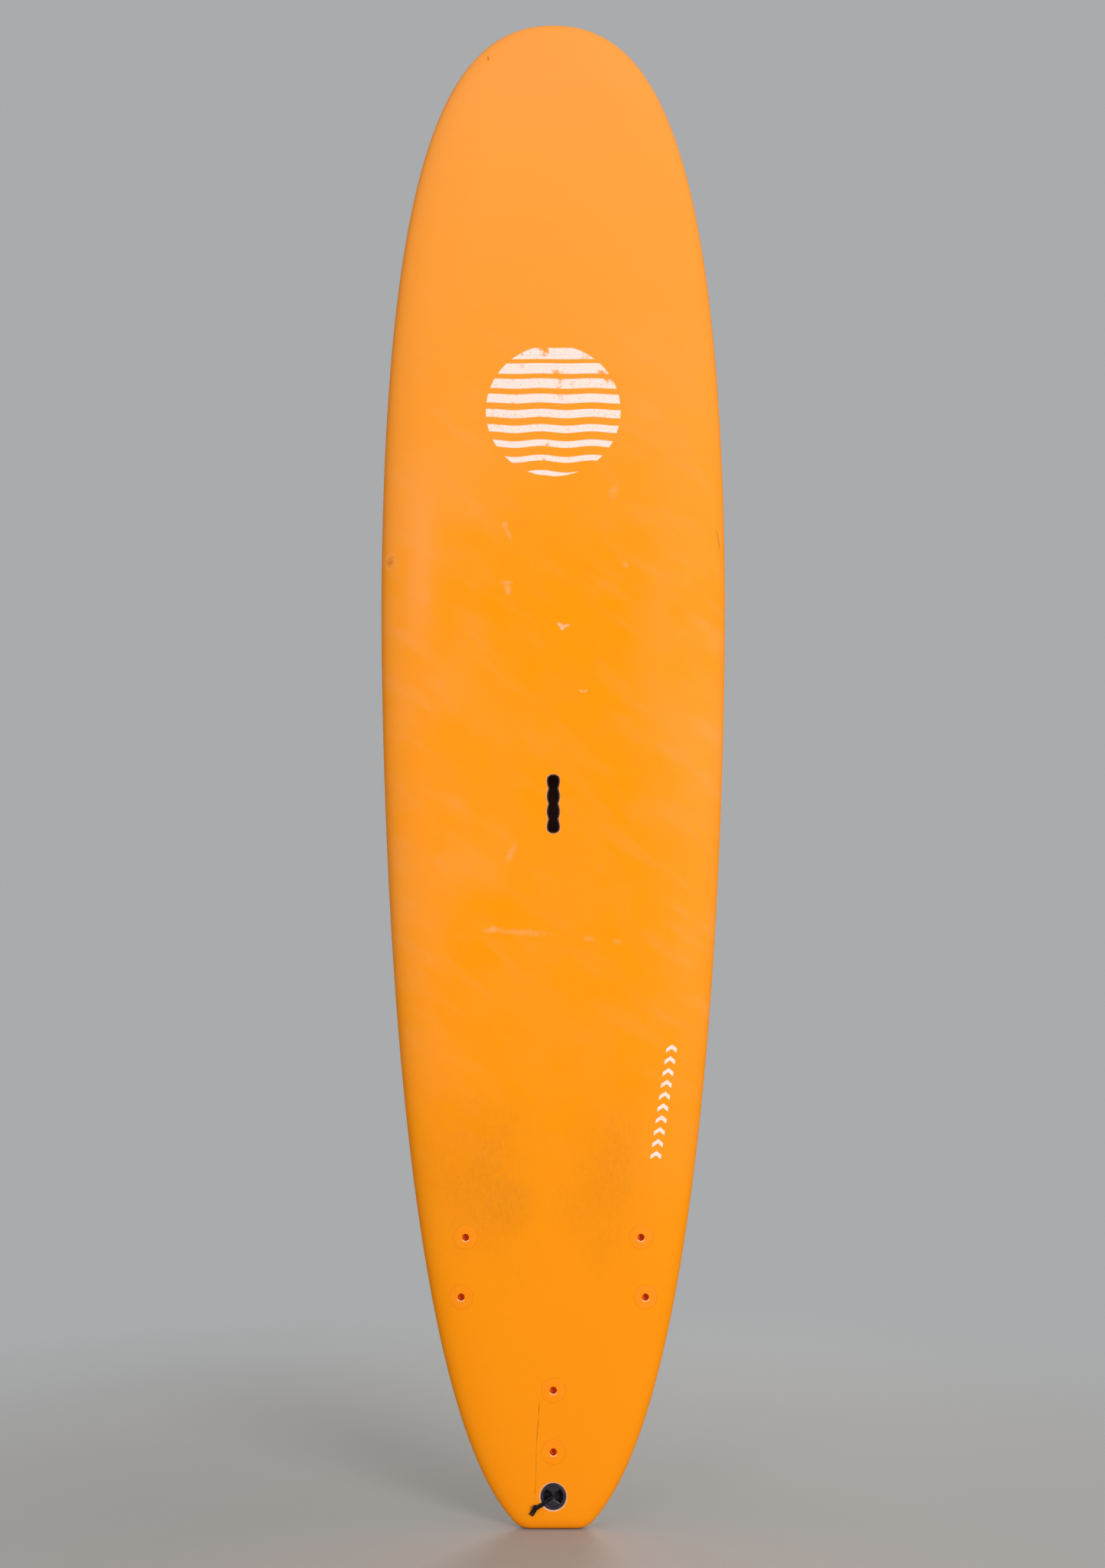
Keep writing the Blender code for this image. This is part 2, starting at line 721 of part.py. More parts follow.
def bar_section(share, side, grow):
    """One section of the bar, share of the way from its waist to its end, on one side of the middle."""
    waist = BAR_WAIST_LENGTH / 2
    along = waist + (LEASH_POCKET / 2 + BAR_SEAT - waist) * share
    reach = LEASH_BODY / 2 - BAR_COVER
    flare = BAR_WAIST / 2 + (along - waist) * math.tan(BAR_FLARE)
    width = min(flare, math.sqrt(reach**2 - along**2)) + grow
    height = BAR_WAIST / 2 + grow
    boxiness = BAR_BOXINESS if share else 1.0
    section = []
    for i in range(BAR_SIDES):
        angle = math.tau * i / BAR_SIDES
        across = math.copysign(abs(math.cos(angle)) ** boxiness, math.cos(angle))
        up = math.copysign(abs(math.sin(angle)) ** boxiness, math.sin(angle))
        section.append((width * across, side * (along + grow * share), height * up - BAR_DEPTH))
    return section


def bar_body(grow):
    """The bow-tie bar along Y: a round waist for the string, and flat ends that widen into the plug."""
    low = [bar_section(share, -1, grow) for share in BAR_STATIONS]
    high = [bar_section(share, 1, grow) for share in BAR_STATIONS[::-1]]
    return stacked(low + high)


def nut_profile(floor):
    """A flanged nut bedded in the core, round the plug's stem."""
    top = -LEASH_BODY_DEPTH - GAP
    inner = LEASH_STEM / 2 + GAP
    blind = -LEASH_BODY_DEPTH - LEASH_STEM_LENGTH - GAP
    return [
        (0, blind),
        (inner, blind),
        (inner, top),
        (NUT_SLEEVE / 2, top),
        (NUT_SLEEVE / 2, floor + NUT_FLANGE_DEPTH),
        (NUT_FLANGE / 2, floor + NUT_FLANGE_DEPTH),
        (NUT_FLANGE / 2, floor),
        (0, floor),
    ]


def leash_bore_profile(floor):
    """Room in the deck skin and the core for the leash plug and its nut."""
    return [
        (0, BEYOND),
        (LEASH_RIM / 2 + GAP, BEYOND),
        (LEASH_RIM / 2 + GAP, -LEASH_RIM_DEPTH - GAP),
        (LEASH_BODY / 2 + GAP, -LEASH_RIM_DEPTH - GAP),
        (LEASH_BODY / 2 + GAP, -LEASH_BODY_DEPTH - GAP),
        (NUT_SLEEVE / 2 + GAP, -LEASH_BODY_DEPTH - GAP),
        (NUT_SLEEVE / 2 + GAP, floor + NUT_FLANGE_DEPTH + GAP),
        (NUT_FLANGE / 2 + GAP, floor + NUT_FLANGE_DEPTH + GAP),
        (NUT_FLANGE / 2 + GAP, floor - GAP),
        (0, floor - GAP),
    ]


# The string's route in the plug's frame, from the knot over the bar, round it and back to the knot
STRING_ROUTE = (
    (-0.0232, -0.0123, 0.0029),
    (-0.0172, -0.0090, 0.0028),
    (-0.0126, -0.0061, 0.0027),
    (-0.0086, -0.0034, 0.0024),
    (-0.0046, -0.0009, 0.0017),
    (-0.0010, 0.0008, 0.0009),
    (0.0026, 0.0015, -0.0006),
    (0.0041, 0.0015, -0.0042),
    (0.0026, 0.0011, -0.0078),
    (-0.0010, 0.0001, -0.0093),
    (-0.0036, -0.0006, -0.0086),
    (-0.0054, -0.0014, -0.0067),
    (-0.0086, -0.0044, -0.0012),
    (-0.0109, -0.0072, 0.0011),
    (-0.0132, -0.0099, 0.0021),
    (-0.0172, -0.0128, 0.0026),
    (-0.0221, -0.0149, 0.0028),
)
KNOT_PLACE = Vector((-0.0270, -0.0158, 0.0043))


def smooth_route(points, steps):
    """A smooth curve through the points, with steps stretches between each two."""
    ends = [2 * points[0] - points[1]] + points + [2 * points[-1] - points[-2]]
    line = [points[0]]
    for before, low, high, after in zip(ends, ends[1:], ends[2:], ends[3:]):
        handles = (low + (high - before) / 6, high - (after - low) / 6)
        line += interpolate_bezier(low, *handles, high, steps + 1)[1:]
    return line


def tube(name, points, width, finish):
    curve = bpy.data.curves.new(name, "CURVE")
    curve.dimensions = "3D"
    curve.bevel_depth = width / 2
    curve.bevel_resolution = 2
    curve.use_fill_caps = True
    spline = curve.splines.new("POLY")
    spline.points.add(len(points) - 1)
    for place, point in zip(spline.points, points):
        place.co = (*point, 1)
    cord = bpy.data.objects.new(name, curve)
    bpy.context.scene.collection.objects.link(cord)
    coat(cord, finish)
    return cord


def make_knot(frame):
    """A drawn-up knot with the string's two cut tails."""
    outward = Vector((KNOT_PLACE.x, KNOT_PLACE.y, 0)).normalized()
    turn = Vector((1, 0, 0)).rotation_difference(outward).to_matrix().to_4x4()
    size = Matrix.Diagonal((KNOT_LENGTH, KNOT_WIDTH, KNOT_HEIGHT, 1))
    bm = bmesh.new()
    bmesh.ops.create_uvsphere(bm, u_segments=KNOT_SIDES, v_segments=KNOT_RINGS, radius=0.5)
    bmesh.ops.transform(bm, matrix=Matrix.Translation(KNOT_PLACE) @ turn @ size, verts=bm.verts)
    knot = finished("leash_knot", closed(bm), BLACK_CORD)
    for label, side in (("left", -1), ("right", 1)):
        heading = TAIL_HEADING + side * TAIL_SPREAD
        away = Vector((math.cos(heading), math.sin(heading), 0))
        aside = Vector((-away.y, away.x, 0)) * side * TAIL_ASIDE
        root = KNOT_PLACE + aside - Vector((0, 0, TAIL_UNDER))
        pose = frame @ axis_frame(root, away, Vector((0, 0, 1)))
        tail = turned(cylinder_profile(CORD_WIDTH, 0.0, KNOT_TAIL), SCREW_SIDES)
        combine(knot, "UNION", guide(f"tail_form_{label}", tail, pose))
    return knot


def make_leash(surface):
    """Plug, bar, nut and string; the string and its knot swing about an empty on the bar's axis."""
    frame = leash_frame(surface)
    floor = NUT_COVER - surface.through(0.0, LEASH_FROM_TAIL)
    plug = finished("leash_plug", turned(leash_plug_profile(), LEASH_SIDES), BLACK_PLASTIC, frame)
    combine(plug, "DIFFERENCE", guide("bar_seat", bar_body(GAP), frame))
    finished("leash_bar", bar_body(0.0), BLACK_PLASTIC, frame)
    finished("leash_plug_nut", turned(nut_profile(floor), LEASH_SIDES), BLACK_PLASTIC, frame)
    pivot = bpy.data.objects.new("leash_pivot", None)
    pivot.matrix_world = frame @ Matrix.Translation((0, 0, -BAR_DEPTH))
    bpy.context.scene.collection.objects.link(pivot)
    route = smooth_route([Vector(p) for p in STRING_ROUTE], CORD_STEPS)
    for moving in (tube("leash_string", route, CORD_WIDTH, BLACK_CORD), make_knot(frame)):
        moving.parent = pivot
        moving.location = (0, 0, BAR_DEPTH)
    return guide("leash_bore", turned(leash_bore_profile(floor), LEASH_SIDES), frame)


# Putting it together


class Surface:
    """Looks up places on the board's outer surface."""

    def __init__(self, bm):
        self.tree = BVHTree.FromBMesh(bm)

    def deck(self, x, z):
        return self.tree.ray_cast(Vector((x, -1, z)), Vector((0, 1, 0)))[0]

    def bottom_seat(self, x, z):
        place, normal, _, _ = self.tree.ray_cast(Vector((x, 1, z)), Vector((0, -1, 0)))
        return place, normal

    def deck_distance(self, place, direction):
        return self.tree.ray_cast(place + direction * BEYOND, direction)[3] + BEYOND

    def through(self, x, z):
        return self.bottom_seat(x, z)[0].y - self.deck(x, z).y


def main():
    for old in list(bpy.data.objects):
        bpy.data.objects.remove(old)
    hull_mesh = make_hull()
    surface = Surface(hull_mesh)
    hull = guide("hull", hull_mesh)
    deck_skin = make_deck_skin()
    bottom_skin = make_bottom_skin()
    lanes = make_core_and_stringers()

    cup_bed, slot_form = make_handle(surface)
    leash_bore = make_leash(surface)
    fins = {
        "left": (-SIDE_FIN_FROM_MIDDLE, SIDE_FIN_FROM_TAIL, -SIDE_FIN_TOE, -SIDE_FIN_CANT),
        "centre": (0.0, CENTRE_FIN_FROM_TAIL, 0.0, 0.0),
        "right": (SIDE_FIN_FROM_MIDDLE, SIDE_FIN_FROM_TAIL, SIDE_FIN_TOE, SIDE_FIN_CANT),
    }
    for side, (x, z, toe, cant) in fins.items():
        bores = make_fin(side, (x, z), toe, cant, surface, hull)
        combine(lanes[f"core_{side}"], "DIFFERENCE", *bores)
        combine(deck_skin, "DIFFERENCE", *bores)
        combine(bottom_skin, "DIFFERENCE", *bores)
    combine(deck_skin, "DIFFERENCE", slot_form, leash_bore)
    combine(lanes["core_centre"], "DIFFERENCE", cup_bed, leash_bore)


main()
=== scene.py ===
"""Dresses the surfboard's CAD frame: foam deck, slick bottom, handle, fins, fastenings and leash string.

Laid out as an add-on and run as a script. Metres, in the frame of the CAD: +Z runs from the tail to the
nose, the deck faces -Y, and the origin is in the middle of the tail's end.
"""

import math
from collections import namedtuple
from functools import reduce

import bmesh
import bpy
import numpy as np
from bpy.props import FloatProperty, FloatVectorProperty, PointerProperty
from bpy.types import Operator, Panel, PropertyGroup
from mathutils import Matrix, Vector
from mathutils.bvhtree import BVHTree
from mathutils.geometry import barycentric_transform


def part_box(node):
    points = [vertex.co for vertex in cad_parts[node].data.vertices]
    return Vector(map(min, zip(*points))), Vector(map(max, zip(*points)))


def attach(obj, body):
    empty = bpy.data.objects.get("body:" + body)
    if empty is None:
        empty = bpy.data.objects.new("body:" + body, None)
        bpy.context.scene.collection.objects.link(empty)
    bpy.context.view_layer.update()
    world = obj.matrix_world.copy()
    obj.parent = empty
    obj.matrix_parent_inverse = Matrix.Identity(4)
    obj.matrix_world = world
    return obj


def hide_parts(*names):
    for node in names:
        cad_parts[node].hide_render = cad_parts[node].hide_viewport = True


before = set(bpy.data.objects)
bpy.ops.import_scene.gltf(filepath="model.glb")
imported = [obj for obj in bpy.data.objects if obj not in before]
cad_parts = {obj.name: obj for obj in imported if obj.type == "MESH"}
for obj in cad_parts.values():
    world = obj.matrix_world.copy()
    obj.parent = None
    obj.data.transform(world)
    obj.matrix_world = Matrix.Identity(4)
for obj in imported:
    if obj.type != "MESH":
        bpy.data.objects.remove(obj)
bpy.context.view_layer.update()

bl_info = {
    "name": "Foam Surfboard",
    "version": (1, 0, 0),
    "blender": (4, 5, 0),
    "location": "3D View > Sidebar > Surfboard",
    "description": "Foam, plastics, fins and string on a surfboard's CAD frame",
    "category": "Add Mesh",
}

# Outline and profile of the board, as in the CAD but with rounder corners at the tail
LENGTH = 2.438
WIDTH = 0.570
WIDE_POINT = 1.480
NOSE_BLUNTNESS = 0.57
NOSE_FULLNESS = 0.82
TAIL_FULLNESS = 0.88
TAIL_BREADTH = 0.95
HIP_FULLNESS = 0.068
TAIL_WIDTH = 0.097
TAIL_CORNER = 0.015
THICKNESS = 0.0825
THICK_POINT = 1.170
NOSE_THICKNESS = 0.034
TAIL_THICKNESS = 0.036
THICKNESS_POWER = 2.2
NOSE_ROCKER = 0.100
TAIL_ROCKER = 0.050
FLAT_POINT = 1.050
ROCKER_POWER = 2.2
RAIL_APEX = 0.45
RAIL_BAND = 0.006
DECK_POWER = 5.5
BOTTOM_POWER = 16.0
NOSE_ROLL = 0.120
TAIL_ROLL = 0.060
DECK_SKIN = 0.004
SLICK_SKIN = 0.0025
SEAM_SHARE = 0.89
SEAM_TUCK = 0.0006
SEAM_BULGE = 0.0002
SLICK_EDGE = 0.0005
GAP = 0.0003

# How finely the board is drawn
CURVE_STEPS = 2000
NOSE_POINTS = 84
RAIL_POINTS = 130
CORNER_POINTS = 60
TAIL_POINTS = 13
TURN_WEIGHT = 0.8
FLAT_SHARE = 0.72
FLAT_RINGS = 10
RAIL_RINGS = 19
UNDER_RINGS = 15
LINING_SHARES = (0.0, 0.4, 0.66, 0.83, 0.94, 0.985, 1.0)
LINING_UNDER_SHARES = (1.0, 0.985, 0.95, SEAM_SHARE)
BOTTOM_SHARES = (0.86, 0.80, 0.70, 0.55, 0.38, 0.19, 0.0)
SHARP = math.radians(38)
WELD = 2e-6
DEGENERATE = 1e-7
ON_SURFACE = 3e-6
CLEAR_OF_BOARD = 0.2
SAME_SIDE = 0.6
POINT_WIDTH = 1e-7
AXIS_RADIUS = 1e-5

# Holes in the skins, with rounded mouths
SLOT_FILLET = 0.0016
PLUG_FILLET = 0.0003
LEASH_FILLET = 0.0024
FERRULE_FILLET = 0.0004
MOUTH_ANGLE = math.radians(18)
MOUTH_RUN = 0.0012
DECK_CUT = 3 * DECK_SKIN
SLICK_CUT = 0.008

# Carry handle; the cup's profiles are (inset, share of its depth) and (inset, height over its floor)
HANDLE_FROM_TAIL = 1.112
FINGERS = 4
FINGER_PITCH = 0.0248
FINGER_WIDTH = 0.0208
NECK_WIDTH = 0.0154
NECK_ROUNDING = 0.012
HANDLE_LENGTH = 0.0956
HANDLE_END = 0.0072
HANDLE_LIP = 0.0018
LIP_ROUNDING = 0.0007
LIP_CORNER = 0.0006
LIP_DEPTH = 0.0009
LIP_FOOT = 0.0002
CUP_WIDTH = 0.062
CUP_LENGTH = 0.118
CUP_DEPTH = 0.046
CUP_WALL = 0.0025
CUP_SHOULDER = 0.001
CUP_CORNER = 0.002
CUP_SQUARENESS = 0.36
CUP_OUTSIDE = ((0.0, 0.75), (0.0015, 0.9), (0.006, 0.98), (0.012, 1.0))
CUP_INSIDE = ((0.011, 0.0), (0.005, 0.0008), (0.0015, 0.004), (0.0, 0.010))

# Fins
FIN_BASE = 0.118
FIN_DEPTH = 0.112
FIN_SWEEP = 0.050
FIN_ROOT = 0.0105
FIN_TIP = 0.0045
TIP_CHORD_SHARE = 0.17
TIP_START = 0.94
TIP_RUN = 0.06
TIP_THINNEST = 0.06
TIP_CHORD_KEPT = 0.72
FIN_OUTLINE_POWER = 2.2
FIN_SWEEP_POWER = 1.4
FIN_CANT = math.radians(2.5)
FIN_SIDES = 72
FOIL_POWER = 1.15
FOIL_FORWARD = 0.34
FOOT_WIDTH = 0.022
FOOT_OVERHANG = 0.004
FOOT_THICKNESS = 0.0035
FOOT_ROUNDING = 0.0009
FOOT_CHAMFER = ((0.0006, 0.0), (0.0, 0.0005))
FOOT_SQUARENESS = 0.45
FOOT_END_SQUARENESS = 0.8
ROOT_FILLET = 0.0025
ROOT_SPREAD = 0.55
POST_WIDTH = 0.0126
POST_HEIGHT = 0.022
POST_CHAMFER = 0.0005
POST_SIDES = 40

# Fin fastenings
PLUG_FLANGE = 0.036
PLUG_FLANGE_DEPTH = 0.010
PLUG_SLEEVE = 0.0150
PLUG_SLEEVE_TAPER = 0.002
PLUG_FACE_RINGS = (0.0150, 0.0120, 0.0095, 0.0078)
PLUG_SIDES = 72
WELL_WIDTH = 0.0104
WELL_DEPTH = 0.0150
WELL_ROUNDING = 0.0009
WELL_NECK = 0.0022
WELL_CORNER = 0.0006
# Inside this radius and on its tailward side, each well's lip carries a painted highlight
HIGHLIGHT_RADIUS = 0.0069
HIGHLIGHT_FROM = -0.55
SCREW_HEAD = 0.0096
SCREW_HEAD_HEIGHT = 0.0045
SCREW_HEAD_ROUNDING = 0.0008
SCREW_SIDES = 48
KEY_SOCKET = 0.0042
KEY_SOCKET_DEPTH = 0.0022
SCREW_SHANK = 0.0056
SCREW_BITE = 0.010
SCREW_POINT = 0.001
THREAD_PITCH = 0.0010
THREAD_DEPTH = 0.00028
THREAD_START = 0.0004
THREAD_STEPS = 5
INSERT_WIDTH = 0.0088
INSERT_LENGTH = 0.013
FERRULE_SLEEVE = 0.0176
FERRULE_SLEEVE_TAPER = 0.002
FERRULE_FLANGE = 0.0290
FERRULE_FLANGE_DEPTH = 0.0040
FERRULE_MOUTH = 0.0006
FERRULE_EDGE = 0.0004
FERRULE_FACE_RINGS = (0.009, 0.0115)
FERRULE_SIDES = 64
FASTENINGS = [(side, end) for side in ("left", "centre", "right") for end in ("front", "rear")]

# Leash plug and its bar
LEASH_FROM_TAIL = 0.050
LEASH_RIM = 0.038
LEASH_RIM_DEPTH = 0.0055
LEASH_RIM_ROUNDING = 0.0008
LEASH_BODY = 0.0358
LEASH_BODY_DEPTH = 0.0175
LEASH_POCKET = 0.0296
LEASH_POCKET_DEPTH = 0.0140
LEASH_POCKET_FLOOR = 0.0200
LEASH_POCKET_ROUNDING = 0.0014
LEASH_FLOOR_CORNER = ((-0.001, 0.0), (0.0006, 0.0008))
LEASH_WALL_CORNER = ((-0.0006, -0.0006), (0.0, 0.0008))
LEASH_SPIGOT = 0.0150
LEASH_SPIGOT_LENGTH = 0.0105
LEASH_SIDES = 120
LEASH_HOLE_SIDES = 96
BAR_WAIST = 0.0049
BAR_WAIST_LENGTH = 0.0072
BAR_FLARE = math.radians(58.0)
BAR_DEPTH = 0.0042
BAR_BEND = 0.0009
BAR_FLATNESS = 0.42
BAR_FLAT_RUN = 0.004
BAR_BITE = 0.0005
BAR_INSIDE_WALL = 0.0010
BAR_SIDES = 48
BAR_RINGS = 61

# String and knot, in the plug's frame
CORD_WIDTH = 0.0032
BRAID_STRANDS = 4
BRAID_LAY = 2.2
BRAID_RELIEF = 0.045
CORD_END = ((0.85, 0.27), (0.45, 0.45))
CORD_SIDES = 24
ROUTE_STEPS = 24
ROUTE_SPACING = 0.00025
END_IN_KNOT = 0.45
KNOT_SIZE = (0.0115, 0.0105, 0.0076)
KNOT_PLACE = Vector((-0.0270, -0.0158, 0.0043))
KNOT_STRAND = 0.96
KNOT_POINTS = 220
KNOT_SIDES = 20
KNOT_TAIL = 0.0120
TAIL_STRAND = 0.97
TAIL_HEADING = math.radians(237.0)
TAIL_SPREAD = math.radians(0.5)
TAIL_ASIDE = 0.0015
TAIL_UNDER = 0.0022
TAIL_CURL = 0.0006
TAIL_CURL_TURN = 2.6
TAIL_STEPS = 50

# The string's route, from the knot over the bar, round it and back
STRING_ROUTE = (
    (-0.0232, -0.0123, 0.0029),
    (-0.0172, -0.0090, 0.0028),
    (-0.0126, -0.0061, 0.0027),
    (-0.0086, -0.0034, 0.0024),
    (-0.0046, -0.0009, 0.0017),
    (-0.0010, 0.0008, 0.0009),
    (0.0026, 0.0015, -0.0006),
    (0.0041, 0.0015, -0.0042),
    (0.0026, 0.0011, -0.0078),
    (-0.0010, 0.0001, -0.0093),
    (-0.0036, -0.0006, -0.0086),
    (-0.0054, -0.0014, -0.0067),
    (-0.0086, -0.0044, -0.0012),
    (-0.0109, -0.0072, 0.0011),
    (-0.0132, -0.0099, 0.0021),
    (-0.0172, -0.0128, 0.0026),
    (-0.0221, -0.0149, 0.0028),
)

# Oval marks on the deck, placed across and along it; ragged is how uneven the outline is
Mark = namedtuple(
    "Mark", "x z half_width half_height slant soft strength ragged", defaults=(0.0, 0.45, 1.0, 1.0)
)
SCUFFS = (
    Mark(0.0122, 1.4050, 0.0084, 0.0044, -0.50, 0.60, 1.00, 0.5),
    Mark(0.0198, 1.4042, 0.0080, 0.0034, 0.25, 0.60, 0.90, 0.5),
    Mark(0.0148, 1.4006, 0.0056, 0.0056, 0.00, 0.60, 1.00, 0.5),
    Mark(0.0460, 1.2960, 0.0062, 0.0024, -0.40, 0.70, 0.75, 0.5),
    Mark(0.0525, 1.2962, 0.0058, 0.0022, 0.40, 0.70, 0.75, 0.5),
    Mark(-0.0790, 1.5730, 0.0070, 0.0120, 0.40, 0.95, 0.38),
    Mark(-0.0730, 1.5560, 0.0048, 0.0120, 0.40, 0.95, 0.42),
    Mark(-0.0743, 1.4660, 0.0075, 0.0130, 0.20, 0.90, 0.42),
    Mark(-0.0760, 1.4760, 0.0135, 0.0060, 0.00, 0.90, 0.32),
    Mark(0.1180, 1.5060, 0.0060, 0.0070, 0.00, 0.90, 0.30),
    Mark(0.1000, 1.6300, 0.0120, 0.0170, -0.30, 0.95, 0.25),
    Mark(-0.0680, 1.0317, 0.0080, 0.0260, -0.40, 0.95, 0.26),
    Mark(-0.0960, 0.9100, 0.0200, 0.0070, 0.05, 0.90, 0.40),
    Mark(-0.0500, 0.9055, 0.0620, 0.0075, -0.06, 0.95, 0.26),
    Mark(0.0565, 0.8955, 0.0140, 0.0060, 0.00, 0.90, 0.24),
    Mark(0.1030, 0.8906, 0.0110, 0.0080, 0.00, 0.95, 0.20),
)
SMUDGES = (
    Mark(-0.082, 0.490, 0.085, 0.105, 0.3, 0.95, 0.68),
    Mark(-0.110, 0.525, 0.125, 0.200, 0.2, 0.95, 0.58),
    Mark(0.090, 0.520, 0.090, 0.160, -0.1, 0.95, 0.52),
    Mark(0.045, 0.480, 0.075, 0.090, 0.0, 0.95, 0.32),
)
DENT = Mark(-0.2690, 1.5155, 0.0100, 0.0115, 0.0, 0.8)
DENT_EDGE = Mark(-0.2690, 1.5155, 0.0145, 0.0150)
NICK = Mark(-0.1101, 2.3755, 0.0026, 0.0075, 0.15, 0.8, 1.0, 0.5)

# Second tints of the finishes
SLICK_CLOUD = (0.70, 0.69, 0.65)
SLICK_SCRATCH = (0.46, 0.45, 0.43)
PLUG_RUB = (0.96, 0.35, 0.06)
PLUG_SCRATCH = (0.96, 0.45, 0.20)
WELL_STAIN = (0.95, 0.150, 0.004)
WELL_CLEAN = (0.97, 0.250, 0.008)
DEEP_RUST = (0.62, 0.075, 0.004)
BRASS_TARNISH = (0.40, 0.25, 0.09)
BEAD_SEAM = (0.66, 0.66, 0.64)
PLY_LINE = (0.38, 0.22, 0.10)
PLY_GRAIN = (0.68, 0.48, 0.28)
CORD_FIBRE = (0.05, 0.047, 0.058)
FLOOR_GRAIN = (0.42, 0.40, 0.37)
AMBIENT_TINT = (1.0, 0.985, 0.96)

# Stage; lamps are (place, width) and shine on one point of the board
SENSOR_WIDTH = 36.0
FLOOR_RINGS = (0.001, 0.4, 0.8, 1.6, 2.4)
FLOOR_SIDES = 96
FLOOR_FADE = (0.25, 2.2)
LAMP_TARGET = Vector((0.0, 0.0, 1.15))
LAMPS = {
    "key": ((2.6, -4.3, 1.5), 2.2),
    "fill": ((-2.4, -3.9, 1.0), 2.2),
    "top": ((0.0, -0.5, 3.6), 1.2),
    "back": ((0.9, 4.4, 1.7), 2.2),
}


# Sizes and colours that a user would change


def colour(name, description, default):
    return FloatVectorProperty(
        name=name, description=description, subtype="COLOR", size=3, min=0.0, max=1.0, default=default
    )


def distance(name, description, default):
    return FloatProperty(name=name, description=description, default=default, unit="LENGTH", precision=5)


def power(name, description, default):
    return FloatProperty(name=name, description=description, default=default, unit="POWER")


class FoamSettings(PropertyGroup):
    """Deck and bottom."""

    deck: colour("Deck", "Foam over the middle of the deck", (0.96, 0.298, 0.0))
    # Nose: the foam is painted paler towards the nose, a painted sheen of the light from above
    nose: colour("Nose", "Foam that the sun has faded at the nose", (0.96, 0.340, 0.058))
    tail: colour("Tail", "Foam at the tail", (0.94, 0.284, 0.004))
    bloom: colour("Bloom", "Pale bloom of worn and stretched foam", (0.96, 0.335, 0.058))
    # Chalk colours the scuffs, and also paints the highlight on each fin plug's tailward well lip
    chalk_and_highlight: colour("Chalk", "Scuffs that show the foam's pale cells", (0.94, 0.455, 0.215))
    grime: colour("Grime", "Wax and dirt smudges", (0.55, 0.185, 0.012))
    # Crease darkens the creases, the fold, the nick and the dent, and paints the contact shadow along the
    # tail's end
    crease: colour("Crease", "Dirt in creases and dents", (0.16, 0.045, 0.006))
    ink: colour("Ink", "Printed sun and arrows", (0.92, 0.765, 0.70))
    # The cut edge's pale ring round the handle slot and the leash plug is partly a painted highlight
    cut_edge_and_highlight: colour("Cut edge", "Foam where a hole was cut through the skin", (0.80, 0.50, 0.40))
    slick: colour("Slick", "Smooth sheet on the bottom", (0.80, 0.79, 0.76))
    pebble: distance("Pebble", "Size of the grain pressed into the foam", 0.0014)
    # Wear also sets the strength of the painted contact shadow at the tail's end
    wear_and_shadow: FloatProperty(
        name="Wear", description="How strongly wear shows", default=1.0, subtype="FACTOR", min=0, max=1
    )


class HardwareSettings(PropertyGroup):
    """Handle, fins, fastenings and leash."""

    handle: colour("Handle", "Moulded cup", (0.145, 0.030, 0.008))
    handle_lip: colour("Handle lip", "Rubbed lip of the cup", (0.075, 0.020, 0.008))
    plug: colour("Fin plug", "Moulded plug in the deck", (0.97, 0.274, 0.0))
    fin: colour("Fin", "Moulded nylon", (0.020, 0.019, 0.022))
    ferrule: colour("Ferrule", "Moulded ring round each fin post", (0.62, 0.61, 0.58))
    steel: colour("Screw", "Steel where the rust is worn off", (0.42, 0.38, 0.36))
    rust: colour("Rust", "Rust on the screws", (0.80, 0.125, 0.005))
    brass: colour("Insert", "Turned brass", (0.72, 0.50, 0.20))
    leash: colour("Leash plug", "Moulded plug and bar", (0.013, 0.011, 0.018))
    string: colour("String", "Braided cord", (0.006, 0.005, 0.008))
    ply: colour("Stringer", "Plywood", (0.55, 0.36, 0.19))
    beads: colour("Core", "Moulded bead foam", (0.86, 0.86, 0.85))


class StageSettings(PropertyGroup):
    """Camera, floor and light."""

    lens: FloatProperty(
        name="Lens", description="Focal length on a 36 mm sensor", default=38.6, unit="CAMERA"
    )
    stand_off: distance("Stand-off", "Camera's distance in front of the board", 2.699)
    height: distance("Height", "Camera's height over the floor", 0.767)
    aside: distance("Aside", "Camera's place across the board", -0.0012)
    tilt: FloatProperty(
        name="Tilt", description="How far the camera looks up", default=math.radians(8.0), subtype="ANGLE"
    )
    floor: colour("Floor", "Pale floor", (0.455, 0.442, 0.425))
    backdrop: colour("Backdrop", "Plain ground behind the board", (0.397, 0.407, 0.413))
    ambient: FloatProperty(name="Ambient", description="Light from all round", default=0.37)
    key: power("Key", "Large soft light, front right", 170.0)
    fill: power("Fill", "Large soft light, front left", 42.0)
    top: power("Top", "Soft light over the nose", 4.0)
    back: power("Back", "Large soft light behind", 85.0)


# Shaders


